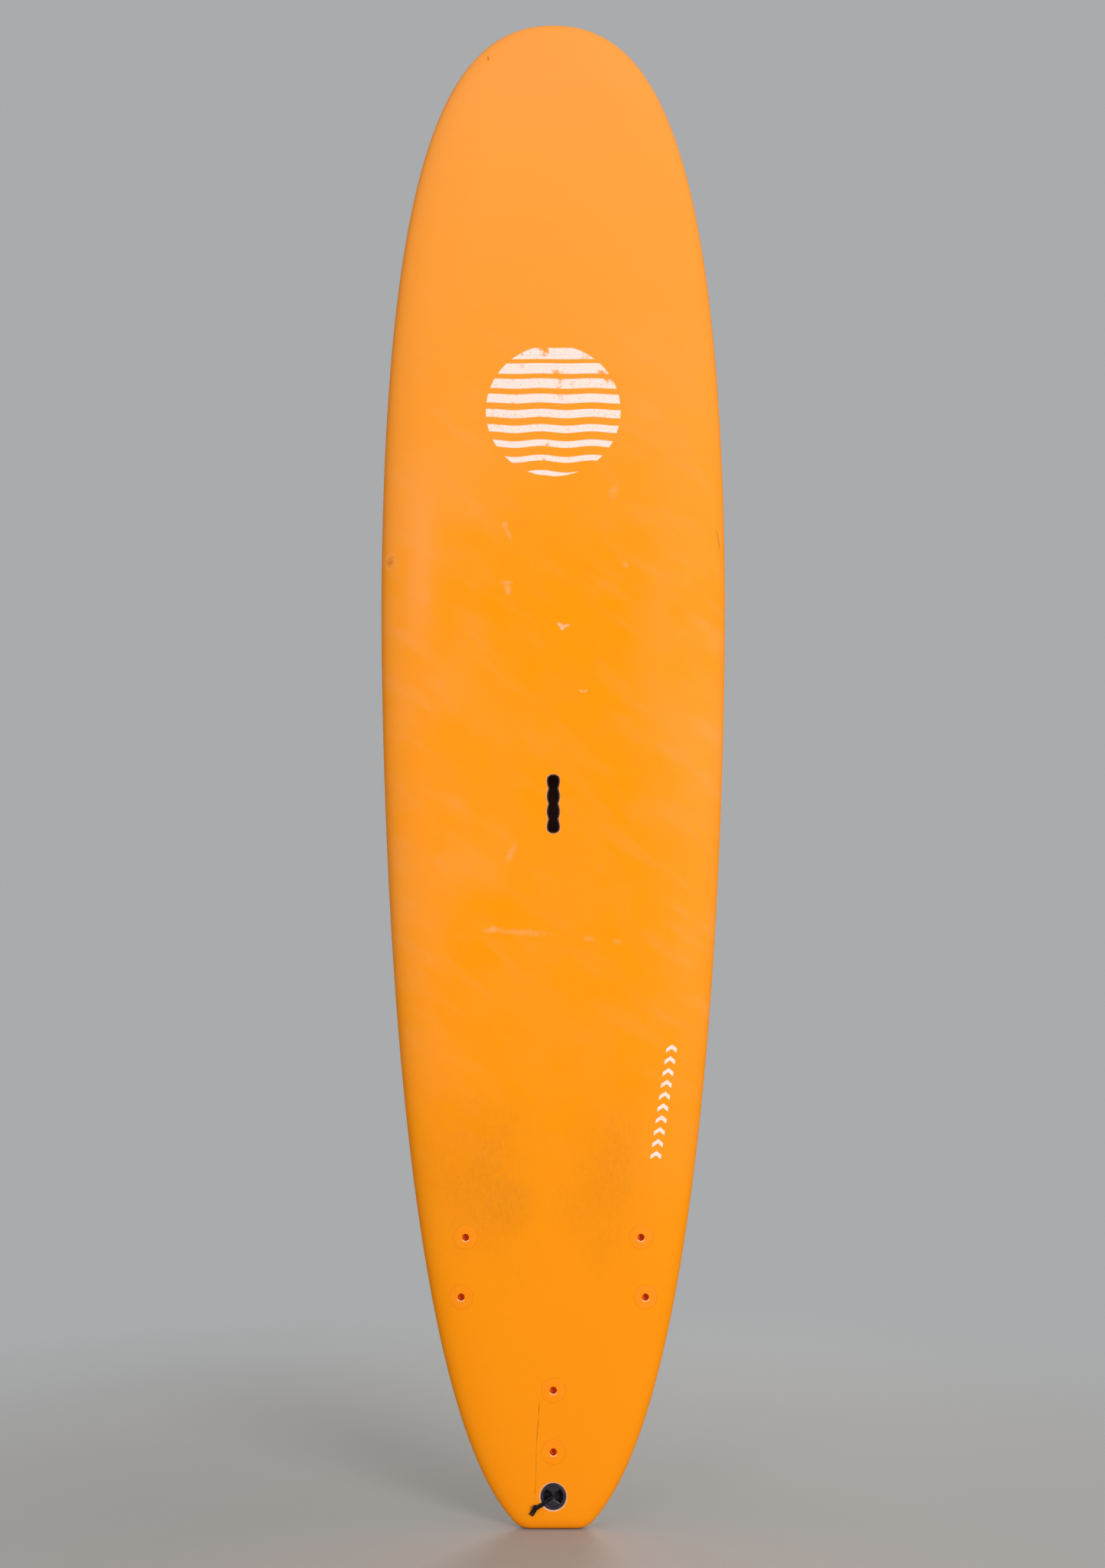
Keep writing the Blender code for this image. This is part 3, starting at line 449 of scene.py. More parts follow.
class Term:
    """A socket's value; arithmetic on terms adds Math nodes."""

    def __init__(self, nodes, socket):
        self.nodes = nodes
        self.socket = socket

    def output(self, name):
        """Another output of the same node."""
        return Term(self.nodes, self.socket.node.outputs[name])

    def math(self, operation, *values):
        return self.nodes.node("ShaderNodeMath", {"operation": operation}, dict(enumerate(values)))

    def __add__(self, other):
        return self.math("ADD", self, other)

    def __radd__(self, other):
        return self.math("ADD", other, self)

    def __sub__(self, other):
        return self.math("SUBTRACT", self, other)

    def __rsub__(self, other):
        return self.math("SUBTRACT", other, self)

    def __mul__(self, other):
        return self.math("MULTIPLY", self, other)

    def __rmul__(self, other):
        return self.math("MULTIPLY", other, self)

    def __truediv__(self, other):
        return self.math("DIVIDE", self, other)

    def __rtruediv__(self, other):
        return self.math("DIVIDE", other, self)

    def __mod__(self, other):
        return self.math("FLOORED_MODULO", self, other)

    def __rmod__(self, other):
        return self.math("FLOORED_MODULO", other, self)

    def __abs__(self):
        return self.math("ABSOLUTE", self)

    def sine(self):
        return self.math("SINE", self)

    def root(self):
        return self.math("SQRT", self)

    def least(self, other):
        return self.math("MINIMUM", self, other)

    def most(self, other):
        return self.math("MAXIMUM", self, other)

    def ease(self, low, high):
        """0 at low and 1 at high, smoothly; low may be above high."""
        return self.nodes.node(
            "ShaderNodeMapRange",
            {"interpolation_type": "SMOOTHSTEP"},
            {"Value": self, "From Min": low, "From Max": high},
        )


class Nodes:
    """The node tree of a material or of the world."""

    def __init__(self, tree):
        self.tree = tree

    def feed(self, socket, value):
        """Links a term to a socket, or sets the socket's own value."""
        if isinstance(value, Term):
            self.tree.links.new(value.socket, socket)
        elif socket.type == "RGBA":
            socket.default_value = (*value[:3], 1.0)
        else:
            socket.default_value = value

    def node(self, kind, settings=None, sockets=None, out=0):
        """Any node, with its settings set before the values and links of its sockets."""
        made = self.tree.nodes.new(kind)
        for name, value in (settings or {}).items():
            if name == "stops":
                self.set_stops(made.color_ramp, value)
            else:
                setattr(made, name, value)
        for key, value in (sockets or {}).items():
            self.feed(made.inputs[key], value)
        return Term(self, made.outputs[out])

    def set_stops(self, ramp, stops):
        while len(ramp.elements) < len(stops):
            ramp.elements.new(1.0)
        for element, (place, tint) in zip(ramp.elements, stops):
            element.position = place
            element.color = (*tint[:3], 1.0)


class Finish(Nodes):
    """One material. Its object coordinates are metres in the CAD's frame."""

    def __init__(self, name, constants):
        self.material = bpy.data.materials.new(name)
        self.material.use_nodes = True
        super().__init__(self.material.node_tree)
        self.shader = self.tree.nodes["Principled BSDF"]
        for socket, value in constants.items():
            self.set(socket, value)

    def set(self, socket, value):
        self.feed(self.shader.inputs[socket], value)

    def surface(self, tint, roughness, relief, depth, strength):
        """Sets what the finish ends in; depth is how far a relief of 1 stands up, in metres."""
        self.set("Base Color", tint)
        self.set("Roughness", roughness)
        sockets = {"Height": relief, "Distance": depth, "Strength": strength}
        self.set("Normal", self.node("ShaderNodeBump", None, sockets))
        return self.material

    def place(self):
        return self.node("ShaderNodeTexCoord", out="Object")

    def axes(self):
        """Across, through and along the board."""
        split = self.node("ShaderNodeSeparateXYZ", None, {"Vector": self.place()}, "X")
        return split, split.output("Y"), split.output("Z")

    def turned(self, angle, scale):
        """The place, turned in the deck's plane and then stretched."""
        sockets = {"Vector": self.place(), "Rotation": (0.0, angle, 0.0)}
        turn = self.node("ShaderNodeMapping", {"vector_type": "POINT"}, sockets)
        return self.node("ShaderNodeVectorMath", {"operation": "MULTIPLY"}, {0: turn, 1: scale}, "Vector")

    def noise(self, scale, detail=2.0, roughness=0.5, where=None):
        where = where or self.place()
        sockets = {"Vector": where, "Scale": scale, "Detail": detail, "Roughness": roughness}
        return self.node("ShaderNodeTexNoise", None, sockets)

    def cells(self, scale, feature="F1"):
        sockets = {"Vector": self.place(), "Scale": scale}
        return self.node("ShaderNodeTexVoronoi", {"feature": feature}, sockets)

    def mix(self, factor, low, high):
        return self.node("ShaderNodeMix", {"data_type": "RGBA"}, {0: factor, 6: low, 7: high}, 2)


def spot(x, z, mark, uneven):
    """A soft-edged oval with a ragged outline, as strong as its mark inside and 0 outside."""
    turn, lift = math.cos(mark.slant), math.sin(mark.slant)
    across = ((x - mark.x) * turn + (z - mark.z) * lift) / mark.half_width
    along = ((z - mark.z) * turn - (x - mark.x) * lift) / mark.half_height
    reach = (across * across + along * along).root() + uneven * mark.ragged
    return reach.ease(1.0, 1.0 - mark.soft) * mark.strength


def deck_finish(foam):
    """Pebbled foam: a painted sheen at the nose, bloom, scuffs, smudges, darker creases, a painted contact
    shadow at the tail's end, and the printed sun and arrows.
    """
    finish = Finish("deck_foam", {"Specular IOR Level": 0.06})
    x, _, z = finish.axes()
    clouds = finish.noise(4.6, 3.0)
    uneven = finish.noise(130.0, 3.0) * 1.3 - 0.65
    stops = ((0.0, foam.tail), (0.36, foam.deck), (0.60, foam.deck), (0.96, foam.nose))
    tint = finish.node("ShaderNodeValToRGB", {"stops": stops}, {"Fac": z / LENGTH}, "Color")
    tint = finish.mix(deck_bloom(finish, x, z, clouds) * foam.wear_and_shadow, tint, foam.bloom)
    tint = finish.mix(deck_grime(finish, x, z) * foam.wear_and_shadow, tint, foam.grime)
    tint = finish.mix(deck_print(finish, x, z), tint, foam.ink)

    dent, nick = spot(x, z, DENT, uneven), spot(x, z, NICK, uneven)
    dent_edge = (spot(x, z, DENT_EDGE, uneven) - dent).most(0.0) * 0.22
    scuffs = reduce(Term.most, [spot(x, z, mark, uneven) for mark in SCUFFS] + [dent_edge])
    tint = finish.mix(scuffs * foam.wear_and_shadow, tint, foam.chalk_and_highlight)

    crease, fold = tail_crease(finish, x, z), rail_fold(x, z)
    pitted = finish.noise(260.0, 3.0, 0.65).ease(0.35, 0.60)
    # Painted contact shadow: the deck darkens over the last few millimetres of the tail's end, where it
    # stands on the floor
    tail_contact_shadow = z.ease(0.0042, 0.0012)
    dark = reduce(Term.most, [crease * 0.8, fold * 0.40, nick * 0.45, dent * pitted * 0.42, tail_contact_shadow * 0.75])
    tint = finish.mix(dark * foam.wear_and_shadow, tint, foam.crease)

    pebble = finish.cells(1.0 / foam.pebble, "SMOOTH_F1")
    grain = pebble * 0.75 + finish.noise(900.0) * 0.25
    relief = grain - crease * 3.0 - fold * 3.0 - dent * 4.0 - nick * 4.0 - scuffs * 0.8
    roughness = 0.56 + clouds * 0.16 + scuffs * 0.15 - pebble * 0.06
    return finish.surface(tint, roughness, relief, 0.00016, 0.8)


def deck_bloom(finish, x, z, clouds):
    """Pale patches of worn foam on the used length, stronger towards the rails and beside the dent."""
    patches = finish.noise(13.0, 3.0, 0.55)
    drifts = finish.noise(1.0, where=finish.turned(0.95, (30.0, 12.0, 8.0)))
    used = z.ease(0.30, 1.0) * z.ease(2.15, 1.75)
    bloom = clouds.ease(0.42, 0.72) * 0.42 + drifts.ease(0.47, 0.75) * 0.34
    bloom = bloom + patches.ease(0.50, 0.78) * 0.20
    bloom = bloom * used * (abs(x).ease(0.02, 0.20) * 0.55 + 0.45)
    rail_side = abs(x + 0.219).ease(0.034, 0.004) * abs(z - 1.505).ease(0.17, 0.05)
    bloom = bloom + rail_side * patches.ease(0.30, 0.62) * 0.45 + abs(x).ease(0.10, 0.25) * used * 0.22
    return bloom.least(0.85)


def deck_grime(finish, x, z):
    """Feet and wax leave the foam brown and speckled ahead of the fins."""
    uneven = finish.noise(11.0, 4.0, 0.6) * 1.3 - 0.65
    brushed = finish.noise(1.0, 4.0, 0.7, finish.turned(0.05, (210.0, 80.0, 90.0)))
    speckle = finish.noise(520.0, 2.0, 0.6)
    areas = reduce(Term.most, [spot(x, z, mark, uneven) for mark in SMUDGES])
    return areas * (0.12 + brushed.ease(0.25, 0.80) * 0.45 + speckle.ease(0.30, 0.80) * 0.35)


def deck_print(finish, x, z):
    """The printed sun and arrows, with worn spots."""
    worn = finish.noise(38.0, 4.0, 0.6).ease(0.27, 0.42) * finish.noise(420.0).ease(0.22, 0.42)
    return printed_sun(x, z).most(printed_arrows(x, z)) * worn * 0.96


def printed_sun(x, z):
    """A disc of bars that thin out downwards and turn wavy, as a low sun on water."""
    middle, radius, bars = 1.766, 0.112, 9
    ripples, ripple_height = 74.0, 0.010
    edge = 0.0012
    reach = (x * x + (z - middle) * (z - middle)).root()
    low = (z - (middle - radius)) / (2 * radius)
    wave = (x * ripples).sine() * ripple_height * (1 - low).most(0.0)
    step = ((low + wave) * bars) % 1.0
    fill = 0.34 + low * 0.46
    bar = (step - fill).ease(0.03, -0.03) * step.ease(0.0, 0.05)
    return bar * reach.ease(radius, radius - edge)


def printed_arrows(x, z):
    """A column of small chevrons beside the right rail, leaning with it."""
    foot, top, pitch, half = 0.552, 0.735, 0.0183, 0.0088
    aside, lean, slope = 0.1745, 0.16, 0.75
    across = x - aside - (z - (foot + top) / 2) * lean
    inside = abs(across).ease(half, half - 0.0008)
    step = ((z - foot + abs(across) * slope) / pitch) % 1.0
    line = abs(step - 0.5).ease(0.20, 0.16)
    return line * inside * z.ease(foot, foot + 0.001) * z.ease(top, top - 0.001)


def tail_crease(finish, x, z):
    """A crooked, broken line in the foam beside the tail's plugs."""
    aside, middle, lean = -0.0251, 0.1175, 0.032
    wander = (z * 62.0).sine() * 0.0006 + (z * 23.0).sine() * 0.0009
    lane = x - aside - (z - middle) * lean + wander
    broken = finish.noise(90.0, 3.0).ease(0.34, 0.56) * 0.7 + 0.3
    return abs(lane).ease(0.00055, 0.0001) * abs(z - middle).ease(0.076, 0.060) * broken


def rail_fold(x, z):
    """A short fold in the foam at the right rail."""
    aside, middle, lean = 0.273, 1.554, -0.16
    lane = x - aside - (z - middle) * lean
    return abs(lane).ease(0.0013, 0.0003) * abs(z - middle).ease(0.018, 0.011)


def cut_edge_finish(foam, name, least):
    """Open cells where the skin was cut, paler than the deck, with a painted highlight round each hole's
    rounded mouth; least is the deck's share in them.
    """
    finish = Finish(name, {"Specular IOR Level": 0.25})
    cells = finish.cells(900.0)
    shade = finish.noise(160.0, 3.0)
    tint = finish.mix(shade.ease(0.3, 0.8) * 0.4 + least, foam.cut_edge_and_highlight, foam.deck)
    return finish.surface(tint, 0.72 + cells * 0.2, cells, 0.0002, 0.7)


def slick_finish(foam):
    """Smooth off-white sheet with fine scratches along the board and grey scuffs."""
    finish = Finish("slick_sheet", {"Specular IOR Level": 0.5})
    lengthwise = finish.noise(1.0, 2.0, 0.6, finish.turned(0.03, (900.0, 60.0, 7.0)))
    slanting = finish.noise(1.0, 2.0, 0.6, finish.turned(0.6, (700.0, 60.0, 9.0)))
    clouds = finish.noise(6.0, 4.0)
    scratches = lengthwise.ease(0.62, 0.74).most(slanting.ease(0.66, 0.76))
    tint = finish.mix(clouds.ease(0.35, 0.75) * 0.35, foam.slick, SLICK_CLOUD)
    tint = finish.mix(scratches * 0.35, tint, SLICK_SCRATCH)
    roughness = 0.24 + scratches * 0.25 + clouds * 0.10
    return finish.surface(tint, roughness, clouds * 0.6 - scratches * 0.4, 0.00012, 0.6)


def moulded_finish(name, tint, roughness, dust, grain=1100.0):
    """Moulded plastic: spark-eroded grain, rubbed shine and a little dust."""
    finish = Finish(name, {"Specular IOR Level": 0.45})
    rub = finish.noise(70.0, 4.0, 0.6)
    specks = finish.noise(420.0, 3.0, 0.7).ease(0.60, 0.78)
    paler = [0.75 * channel + 0.10 for channel in tint]
    tint = finish.mix(rub.ease(0.45, 0.8) * dust + specks * dust * 0.5, tint, paler)
    roughness = roughness + rub * 0.16 - 0.08 + specks * 0.1
    return finish.surface(tint, roughness, finish.noise(grain), 0.00006, 0.6)


def plug_finish(hardware):
    """Orange moulded plug with a rubbed and scratched face."""
    finish = Finish("fin_plug_plastic", {"Specular IOR Level": 0.14})
    rub = finish.noise(140.0, 4.0, 0.6)
    scratches = finish.noise(1.0, 2.0, 0.6, finish.turned(0.4, (900.0, 300.0, 120.0)))
    tint = finish.mix(rub.ease(0.50, 0.85) * 0.18, hardware.plug, PLUG_RUB)
    tint = finish.mix(scratches.ease(0.66, 0.78) * 0.3, tint, PLUG_SCRATCH)
    return finish.surface(tint, 0.36 + rub * 0.22, rub + scratches * 0.3, 0.00008, 0.5)


def well_finish():
    """The plug's well, stained by the screw and by what has collected in it."""
    finish = Finish("well_stain", {"Specular IOR Level": 0.3})
    stain = finish.noise(500.0, 3.0, 0.65)
    tint = finish.mix(stain.ease(0.3, 0.7), WELL_STAIN, WELL_CLEAN)
    return finish.surface(tint, 0.62 + stain * 0.2, stain, 0.0001, 0.5)


def rim_finish(name, tint, under):
    """A lip in one tint, with patches of the tint under it: rubbed on the handle, and a painted highlight
    on each well's tailward lip.
    """
    finish = Finish(name, {"Specular IOR Level": 0.45})
    rub = finish.noise(220.0, 4.0, 0.65)
    tint = finish.mix(rub.ease(0.58, 0.75) * 0.6, tint, under)
    return finish.surface(tint, 0.40 + rub * 0.25, rub, 0.0001, 0.5)


def brass_finish(hardware):
    """Turned brass with tarnished patches."""
    finish = Finish("insert_brass", {"Metallic": 1.0})
    marks = finish.noise(700.0, 3.0, 0.6)
    patches = finish.noise(260.0, 3.0, 0.6).ease(0.45, 0.7)
    tint = finish.mix(patches * 0.7, hardware.brass, BRASS_TARNISH)
    return finish.surface(tint, 0.25 + marks * 0.25 + patches * 0.15, marks, 0.00005, 0.5)


def rusty_finish(hardware):
    """Steel under a coat of rust, worn bright in places."""
    finish = Finish("rusty_steel", {"Specular IOR Level": 0.3})
    grain = finish.noise(900.0, 4.0, 0.65)
    rust = finish.noise(330.0, 3.0, 0.6).ease(0.14, 0.36)
    coat = finish.mix(grain.ease(0.35, 0.7), hardware.rust, DEEP_RUST)
    finish.set("Metallic", 1 - rust)
    tint = finish.mix(rust, hardware.steel, coat)
    return finish.surface(tint, 0.42 + rust * 0.4, grain * rust, 0.00008, 0.6)


def bead_finish(hardware):
    """Fused foam beads."""
    finish = Finish("bead_foam", {"Specular IOR Level": 0.3})
    beads = finish.cells(260.0)
    seams = finish.cells(260.0, "DISTANCE_TO_EDGE").ease(0.0, 0.08)
    tint = finish.mix(seams, BEAD_SEAM, hardware.beads)
    return finish.surface(tint, 0.9 - beads * 0.25, seams, 0.0004, 0.8)


def ply_finish(hardware):
    """Plywood edge: plies through the thickness, grain along the board."""
    finish = Finish("ply", {"Specular IOR Level": 0.3})
    x, _, _ = finish.axes()
    grain = finish.noise(1.0, 4.0, 0.6, finish.turned(0.0, (500.0, 500.0, 9.0)))
    plies = ((x * 2400.0).sine() * 0.5 + 0.5).ease(0.3, 0.7)
    tint = finish.mix(plies * 0.6, hardware.ply, PLY_LINE)
    tint = finish.mix(grain.ease(0.35, 0.7) * 0.5, tint, PLY_GRAIN)
    return finish.surface(tint, 0.62 + grain * 0.2, grain, 0.0002, 0.5)


def cord_finish(hardware):
    """Black braid with paler worn fibres."""
    constants = {"Specular IOR Level": 0.2, "Sheen Weight": 0.08, "Sheen Roughness": 0.4}
    finish = Finish("braided_cord", constants)
    fibres = finish.noise(2600.0, 3.0, 0.7)
    tint = finish.mix(fibres.ease(0.5, 0.8) * 0.4, hardware.string, CORD_FIBRE)
    return finish.surface(tint, 0.72 + fibres * 0.2, fibres, 0.00012, 0.8)


# The board's surface


def bezier(start, first, second, end, steps):
    """Points on a cubic curve between two ends with two handles."""
    t = np.linspace(0.0, 1.0, steps)[:, None]
    points = [np.array(p, float) for p in (start, first, second, end)]
    weights = ((1 - t) ** 3, 3 * t * (1 - t) ** 2, 3 * t * t * (1 - t), t**3)
    return sum(w * p for w, p in zip(weights, points))


def respaced(points, count):
    """Points along a polyline, closer together where it turns, with both ends kept."""
    runs = np.diff(points, axis=0)
    lengths = np.linalg.norm(runs, axis=1)
    headings = np.unwrap(np.arctan2(runs[:, 1], runs[:, 0]))
    bends = np.concatenate([[0.0], np.abs(np.diff(headings))])
    steps = lengths / lengths.sum() + TURN_WEIGHT * bends / bends.sum()
    measure = np.concatenate([[0.0], np.cumsum(steps)])
    wanted = np.linspace(0.0, measure[-1], count)
    return np.column_stack([np.interp(wanted, measure, points[:, i]) for i in range(2)])


class Hull:
    """The board's outline and the heights of its deck and bottom."""

    def __init__(self):
        half = WIDTH / 2
        nose = bezier(
            (0, LENGTH),
            (half * NOSE_BLUNTNESS, LENGTH),
            (half, WIDE_POINT + NOSE_FULLNESS * (LENGTH - WIDE_POINT)),
            (half, WIDE_POINT),
            CURVE_STEPS,
        )
        corner = np.array((TAIL_WIDTH / 2, 0.0))
        tail = bezier(
            (half, WIDE_POINT),
            (half, WIDE_POINT * (1 - HIP_FULLNESS)),
            (half * TAIL_BREADTH, WIDE_POINT * (1 - TAIL_FULLNESS)),
            corner,
            CURVE_STEPS,
        )
        rail = tail[np.linalg.norm(tail - corner, axis=1) > TAIL_CORNER]
        t = np.linspace(0.0, 1.0, CORNER_POINTS)[1:, None]
        flat_end = corner - np.array((TAIL_CORNER, 0.0))
        rounding = rail[-1] * (1 - t) ** 2 + corner * 2 * t * (1 - t) + flat_end * t * t
        rail = respaced(np.vstack([rail, rounding]), RAIL_POINTS)[1:]
        end = np.column_stack([np.linspace(flat_end[0], 0.0, TAIL_POINTS), np.zeros(TAIL_POINTS)])[1:]
        right = np.vstack([respaced(nose, NOSE_POINTS), rail, end])
        left = right[-2:0:-1] * (-1, 1)
        self.edge = np.vstack([right, left])
        along = np.roll(self.edge, -1, axis=0) - np.roll(self.edge, 1, axis=0)
        along /= np.linalg.norm(along, axis=1)[:, None]
        self.inward = np.column_stack([along[:, 1], -along[:, 0]])
        self.tail_apex = self.rocker(0.0) + RAIL_APEX * TAIL_THICKNESS

    def rocker(self, z):
        nose = np.maximum(0.0, z - FLAT_POINT) / (LENGTH - FLAT_POINT)
        tail = np.maximum(0.0, FLAT_POINT - z) / FLAT_POINT
        return NOSE_ROCKER * nose**ROCKER_POWER + TAIL_ROCKER * tail**ROCKER_POWER

    def thickness(self, z):
        nose = np.maximum(0.0, z - THICK_POINT) / (LENGTH - THICK_POINT)
        tail = np.maximum(0.0, THICK_POINT - z) / THICK_POINT
        thin = (THICKNESS - NOSE_THICKNESS) * nose**THICKNESS_POWER
        return THICKNESS - thin - (THICKNESS - TAIL_THICKNESS) * tail**THICKNESS_POWER

    def deck(self, z, share, inset):
        thick = self.thickness(z)
        rail = RAIL_APEX * thick + RAIL_BAND / 2
        height = rail + (thick - inset - rail) * np.sqrt(np.maximum(0.0, 1 - share**DECK_POWER))
        return self.tail_apex - self.rocker(z) - height

    def bottom(self, z, share, inset):
        rail = RAIL_APEX * self.thickness(z) - RAIL_BAND / 2
        height = rail - (rail - inset) * np.sqrt(np.maximum(0.0, 1 - share**BOTTOM_POWER))
        return self.tail_apex - self.rocker(z) - height

    def ring(self, share, side, inset=0.0, drawn_back=0.0):
        """One ring round the board, share of the way from its spine to its outline."""
        run = (LENGTH - NOSE_ROLL - TAIL_ROLL) / LENGTH
        spine = np.column_stack([np.zeros(len(self.edge)), TAIL_ROLL + run * self.edge[:, 1]])
        outward = self.edge + self.inward * inset - spine
        here = share - drawn_back / np.linalg.norm(outward, axis=1)
        flat = spine + outward * here[:, None]
        return np.column_stack([flat[:, 0], side(flat[:, 1], here, inset), flat[:, 1]])

    def deck_rings(self):
        """From the spine over the deck and round the rail to the seam."""
        shares = list(np.linspace(0.0, FLAT_SHARE, FLAT_RINGS))
        start = math.sqrt(1 - FLAT_SHARE**DECK_POWER)
        shares += [(1 - h * h) ** (1 / DECK_POWER) for h in np.linspace(start, 0.0, RAIL_RINGS)[1:]]
        stop = math.sqrt(1 - SEAM_SHARE**BOTTOM_POWER)
        under = [(1 - h * h) ** (1 / BOTTOM_POWER) for h in np.linspace(0.0, stop, UNDER_RINGS)]
        return [self.ring(s, self.deck) for s in shares] + [self.ring(s, self.bottom) for s in under]

    def deck_lining(self):
        over = [self.ring(s, self.deck, DECK_SKIN) for s in LINING_SHARES]
        return over + [self.ring(s, self.bottom, DECK_SKIN) for s in LINING_UNDER_SHARES]

    def bottom_rings(self, inset):
        return [self.ring(s, self.bottom, inset) for s in BOTTOM_SHARES]


class Surface:
    """Looks up places on the board's closed outer surface."""

    def __init__(self, hull):
        verts, faces = skin(hull.deck_rings() + hull.bottom_rings(0.0))
        self.tree = BVHTree.FromPolygons([Vector(v) for v in verts], faces)

    def meets(self, start, direction):
        return self.tree.ray_cast(start, direction)[0]

    def height(self, place, x, y, side):
        """Where a line along the place's Z meets the deck (side 1) or the bottom (side -1)."""
        well_outside = place @ Vector((x, y, side * CLEAR_OF_BOARD))
        inward = place.to_3x3() @ Vector((0, 0, -side))
        return (place.inverted() @ self.meets(well_outside, inward)).z


# Meshes


def skin(rings, caps=(False, False)):
    """Vertices and faces through rings of the same number of points."""
    count = len(rings[0])
    verts = np.vstack(rings)
    faces = []
    for r in range(len(rings) - 1):
        for i in range(count):
            j = (i + 1) % count
            faces.append((r * count + i, r * count + j, (r + 1) * count + j, (r + 1) * count + i))
    if caps[0]:
        faces.append(tuple(range(count))[::-1])
    if caps[1]:
        faces.append(tuple(range((len(rings) - 1) * count, len(rings) * count)))
    return verts, faces


def joined(shells):
    """Several (vertices, faces) as one."""
    verts, faces = [], []
    start = 0
    for some, loops in shells:
        verts.append(np.asarray(some))
        faces += [tuple(i + start for i in loop) for loop in loops]
        start += len(some)
    return np.vstack(verts), faces


def moved(place, shell):
    """A shell's vertices and faces, taken out of a place's frame."""
    verts, faces = shell
    return np.array([place @ Vector(v) for v in verts]), faces


def piece(name, shell, materials, slots=None, place=None):
    """A smooth object from a shell, with outward normals and squeezed rings welded."""
    verts, faces = shell
    mesh = bpy.data.meshes.new(name)
    mesh.from_pydata([tuple(v) for v in verts], [], [tuple(f) for f in faces])
    if slots is not None:
        mesh.polygons.foreach_set("material_index", np.asarray(slots, np.int32))
    for material in materials:
        mesh.materials.append(material)
    if place is not None:
        mesh.transform(place)
    weld(mesh)
    mesh.shade_smooth()
    mesh.set_sharp_from_angle(angle=SHARP)
    made = bpy.data.objects.new(name, mesh)
    bpy.context.scene.collection.objects.link(made)
    return made


def weld(mesh):
    """Closes a mesh and turns its faces outwards."""
    bm = bmesh.new()
    bm.from_mesh(mesh)
    bmesh.ops.remove_doubles(bm, verts=bm.verts, dist=WELD)
    bmesh.ops.dissolve_degenerate(bm, edges=bm.edges, dist=DEGENERATE)
    bmesh.ops.recalc_face_normals(bm, faces=bm.faces)
    if bm.calc_volume(signed=True) < 0:
        bmesh.ops.reverse_faces(bm, faces=bm.faces)
    bm.to_mesh(mesh)
    bm.free()


def cut(target, cutters):
    """Takes the cutters out of the target, and the cutters out of the scene.

    Triangles come first, because the boolean leaves stray faces over bent four-sided ones.
    """
    for part in [target, *cutters]:
        bm = bmesh.new()
        bm.from_mesh(part.data)
        bmesh.ops.triangulate(bm, faces=bm.faces)
        bm.to_mesh(part.data)
        bm.free()
    for cutter in cutters:
        modifier = target.modifiers.new(cutter.name, "BOOLEAN")
        modifier.operation = "DIFFERENCE"
        modifier.object = cutter
    graph = bpy.context.evaluated_depsgraph_get()
    whole = bpy.data.meshes.new_from_object(target.evaluated_get(graph))
    old = target.data
    target.modifiers.clear()
    target.data = whole
    bpy.data.meshes.remove(old)
    for cutter in cutters:
        bpy.data.objects.remove(cutter)
    target.data.set_sharp_from_angle(angle=SHARP)


def keep_curve(target, uncut):
    """Gives what is left of the uncut surface its own normals back, so that holes don't show as shading."""
    verts, faces = uncut
    plain = bpy.data.meshes.new("uncut")
    plain.from_pydata([Vector(v) for v in verts], [], faces)
    weld(plain)
    corners = [v.co.copy() for v in plain.vertices]
    normals = [v.normal.copy() for v in plain.vertices]
    plain.calc_loop_triangles()
    triangles = [tuple(t.vertices) for t in plain.loop_triangles]
    tree = BVHTree.FromPolygons(corners, triangles)
    mesh = target.data
    known = {}
    for vertex in mesh.vertices:
        near, _, index, away = tree.find_nearest(vertex.co)
        if away < ON_SURFACE:
            a, b, c = triangles[index]
            known[vertex.index] = barycentric_transform(
                near, corners[a], corners[b], corners[c], normals[a], normals[b], normals[c]
            ).normalized()
    split = [(0.0, 0.0, 0.0)] * len(mesh.loops)
    for polygon in mesh.polygons:
        for index in polygon.loop_indices:
            normal = known.get(mesh.loops[index].vertex_index)
            if normal is not None and normal.dot(polygon.normal) > SAME_SIDE:
                split[index] = tuple(normal)
    mesh.normals_split_custom_set(split)
    bpy.data.meshes.remove(plain)


def turns(sides):
    return np.linspace(0.0, math.tau, sides, endpoint=False)


def circle(radius, sides):
    turn = turns(sides)
    return np.column_stack([radius * np.cos(turn), radius * np.sin(turn)])


def signed_power(values, exponent):
    """Squares off a round outline with an exponent below 1, and thins it with one above."""
    return np.sign(values) * np.abs(values) ** exponent


def level(outline, height):
    """An (x, y) outline as a ring, at one height or at a height for each point."""
    return np.column_stack([outline, np.broadcast_to(height, len(outline))])


def lathe(rows, sides):
    """A closed body turned about Z from (radius, height) rows."""
    rings = [level(circle(max(radius, AXIS_RADIUS), sides), height) for radius, height in rows]
    return skin(rings, (True, True))


# One ring of a moulding: its (x, y) outline, its height from the skin, whether it follows the board's
# curve, and the material slot of the faces that lead on from it
Row = namedtuple("Row", "outline height follows slot", defaults=(False, 0))


def moulding(place, surface, rows, side=1):
    """A closed shell through rows, and the slot of each of its faces."""
    middle = surface.height(place, 0.0, 0.0, side)
    rings = []
    for row in rows:
        lift = 0.0
        if row.follows:
            lift = np.array([surface.height(place, x, y, side) - middle for x, y in row.outline])
        rings.append(level(row.outline, middle + row.height + lift))
    slots = np.repeat([row.slot for row in rows], len(rings[0]))
    return skin(rings + rings[:1]), slots


def rounded_edge(reach, radius, steps):
    """(outward, down) offsets round an edge of that radius, from its top face to its side."""
    quarter = np.linspace(0.0, math.pi / 2, steps)
    return [(reach - radius + radius * math.sin(a), radius * math.cos(a) - radius) for a in quarter]


def round_hole(width, sides):
    """The outline of a round hole with clearance, as hole_cutter takes it."""

    def outline(grow):
        return circle(width / 2 + GAP + grow, sides)

    return outline


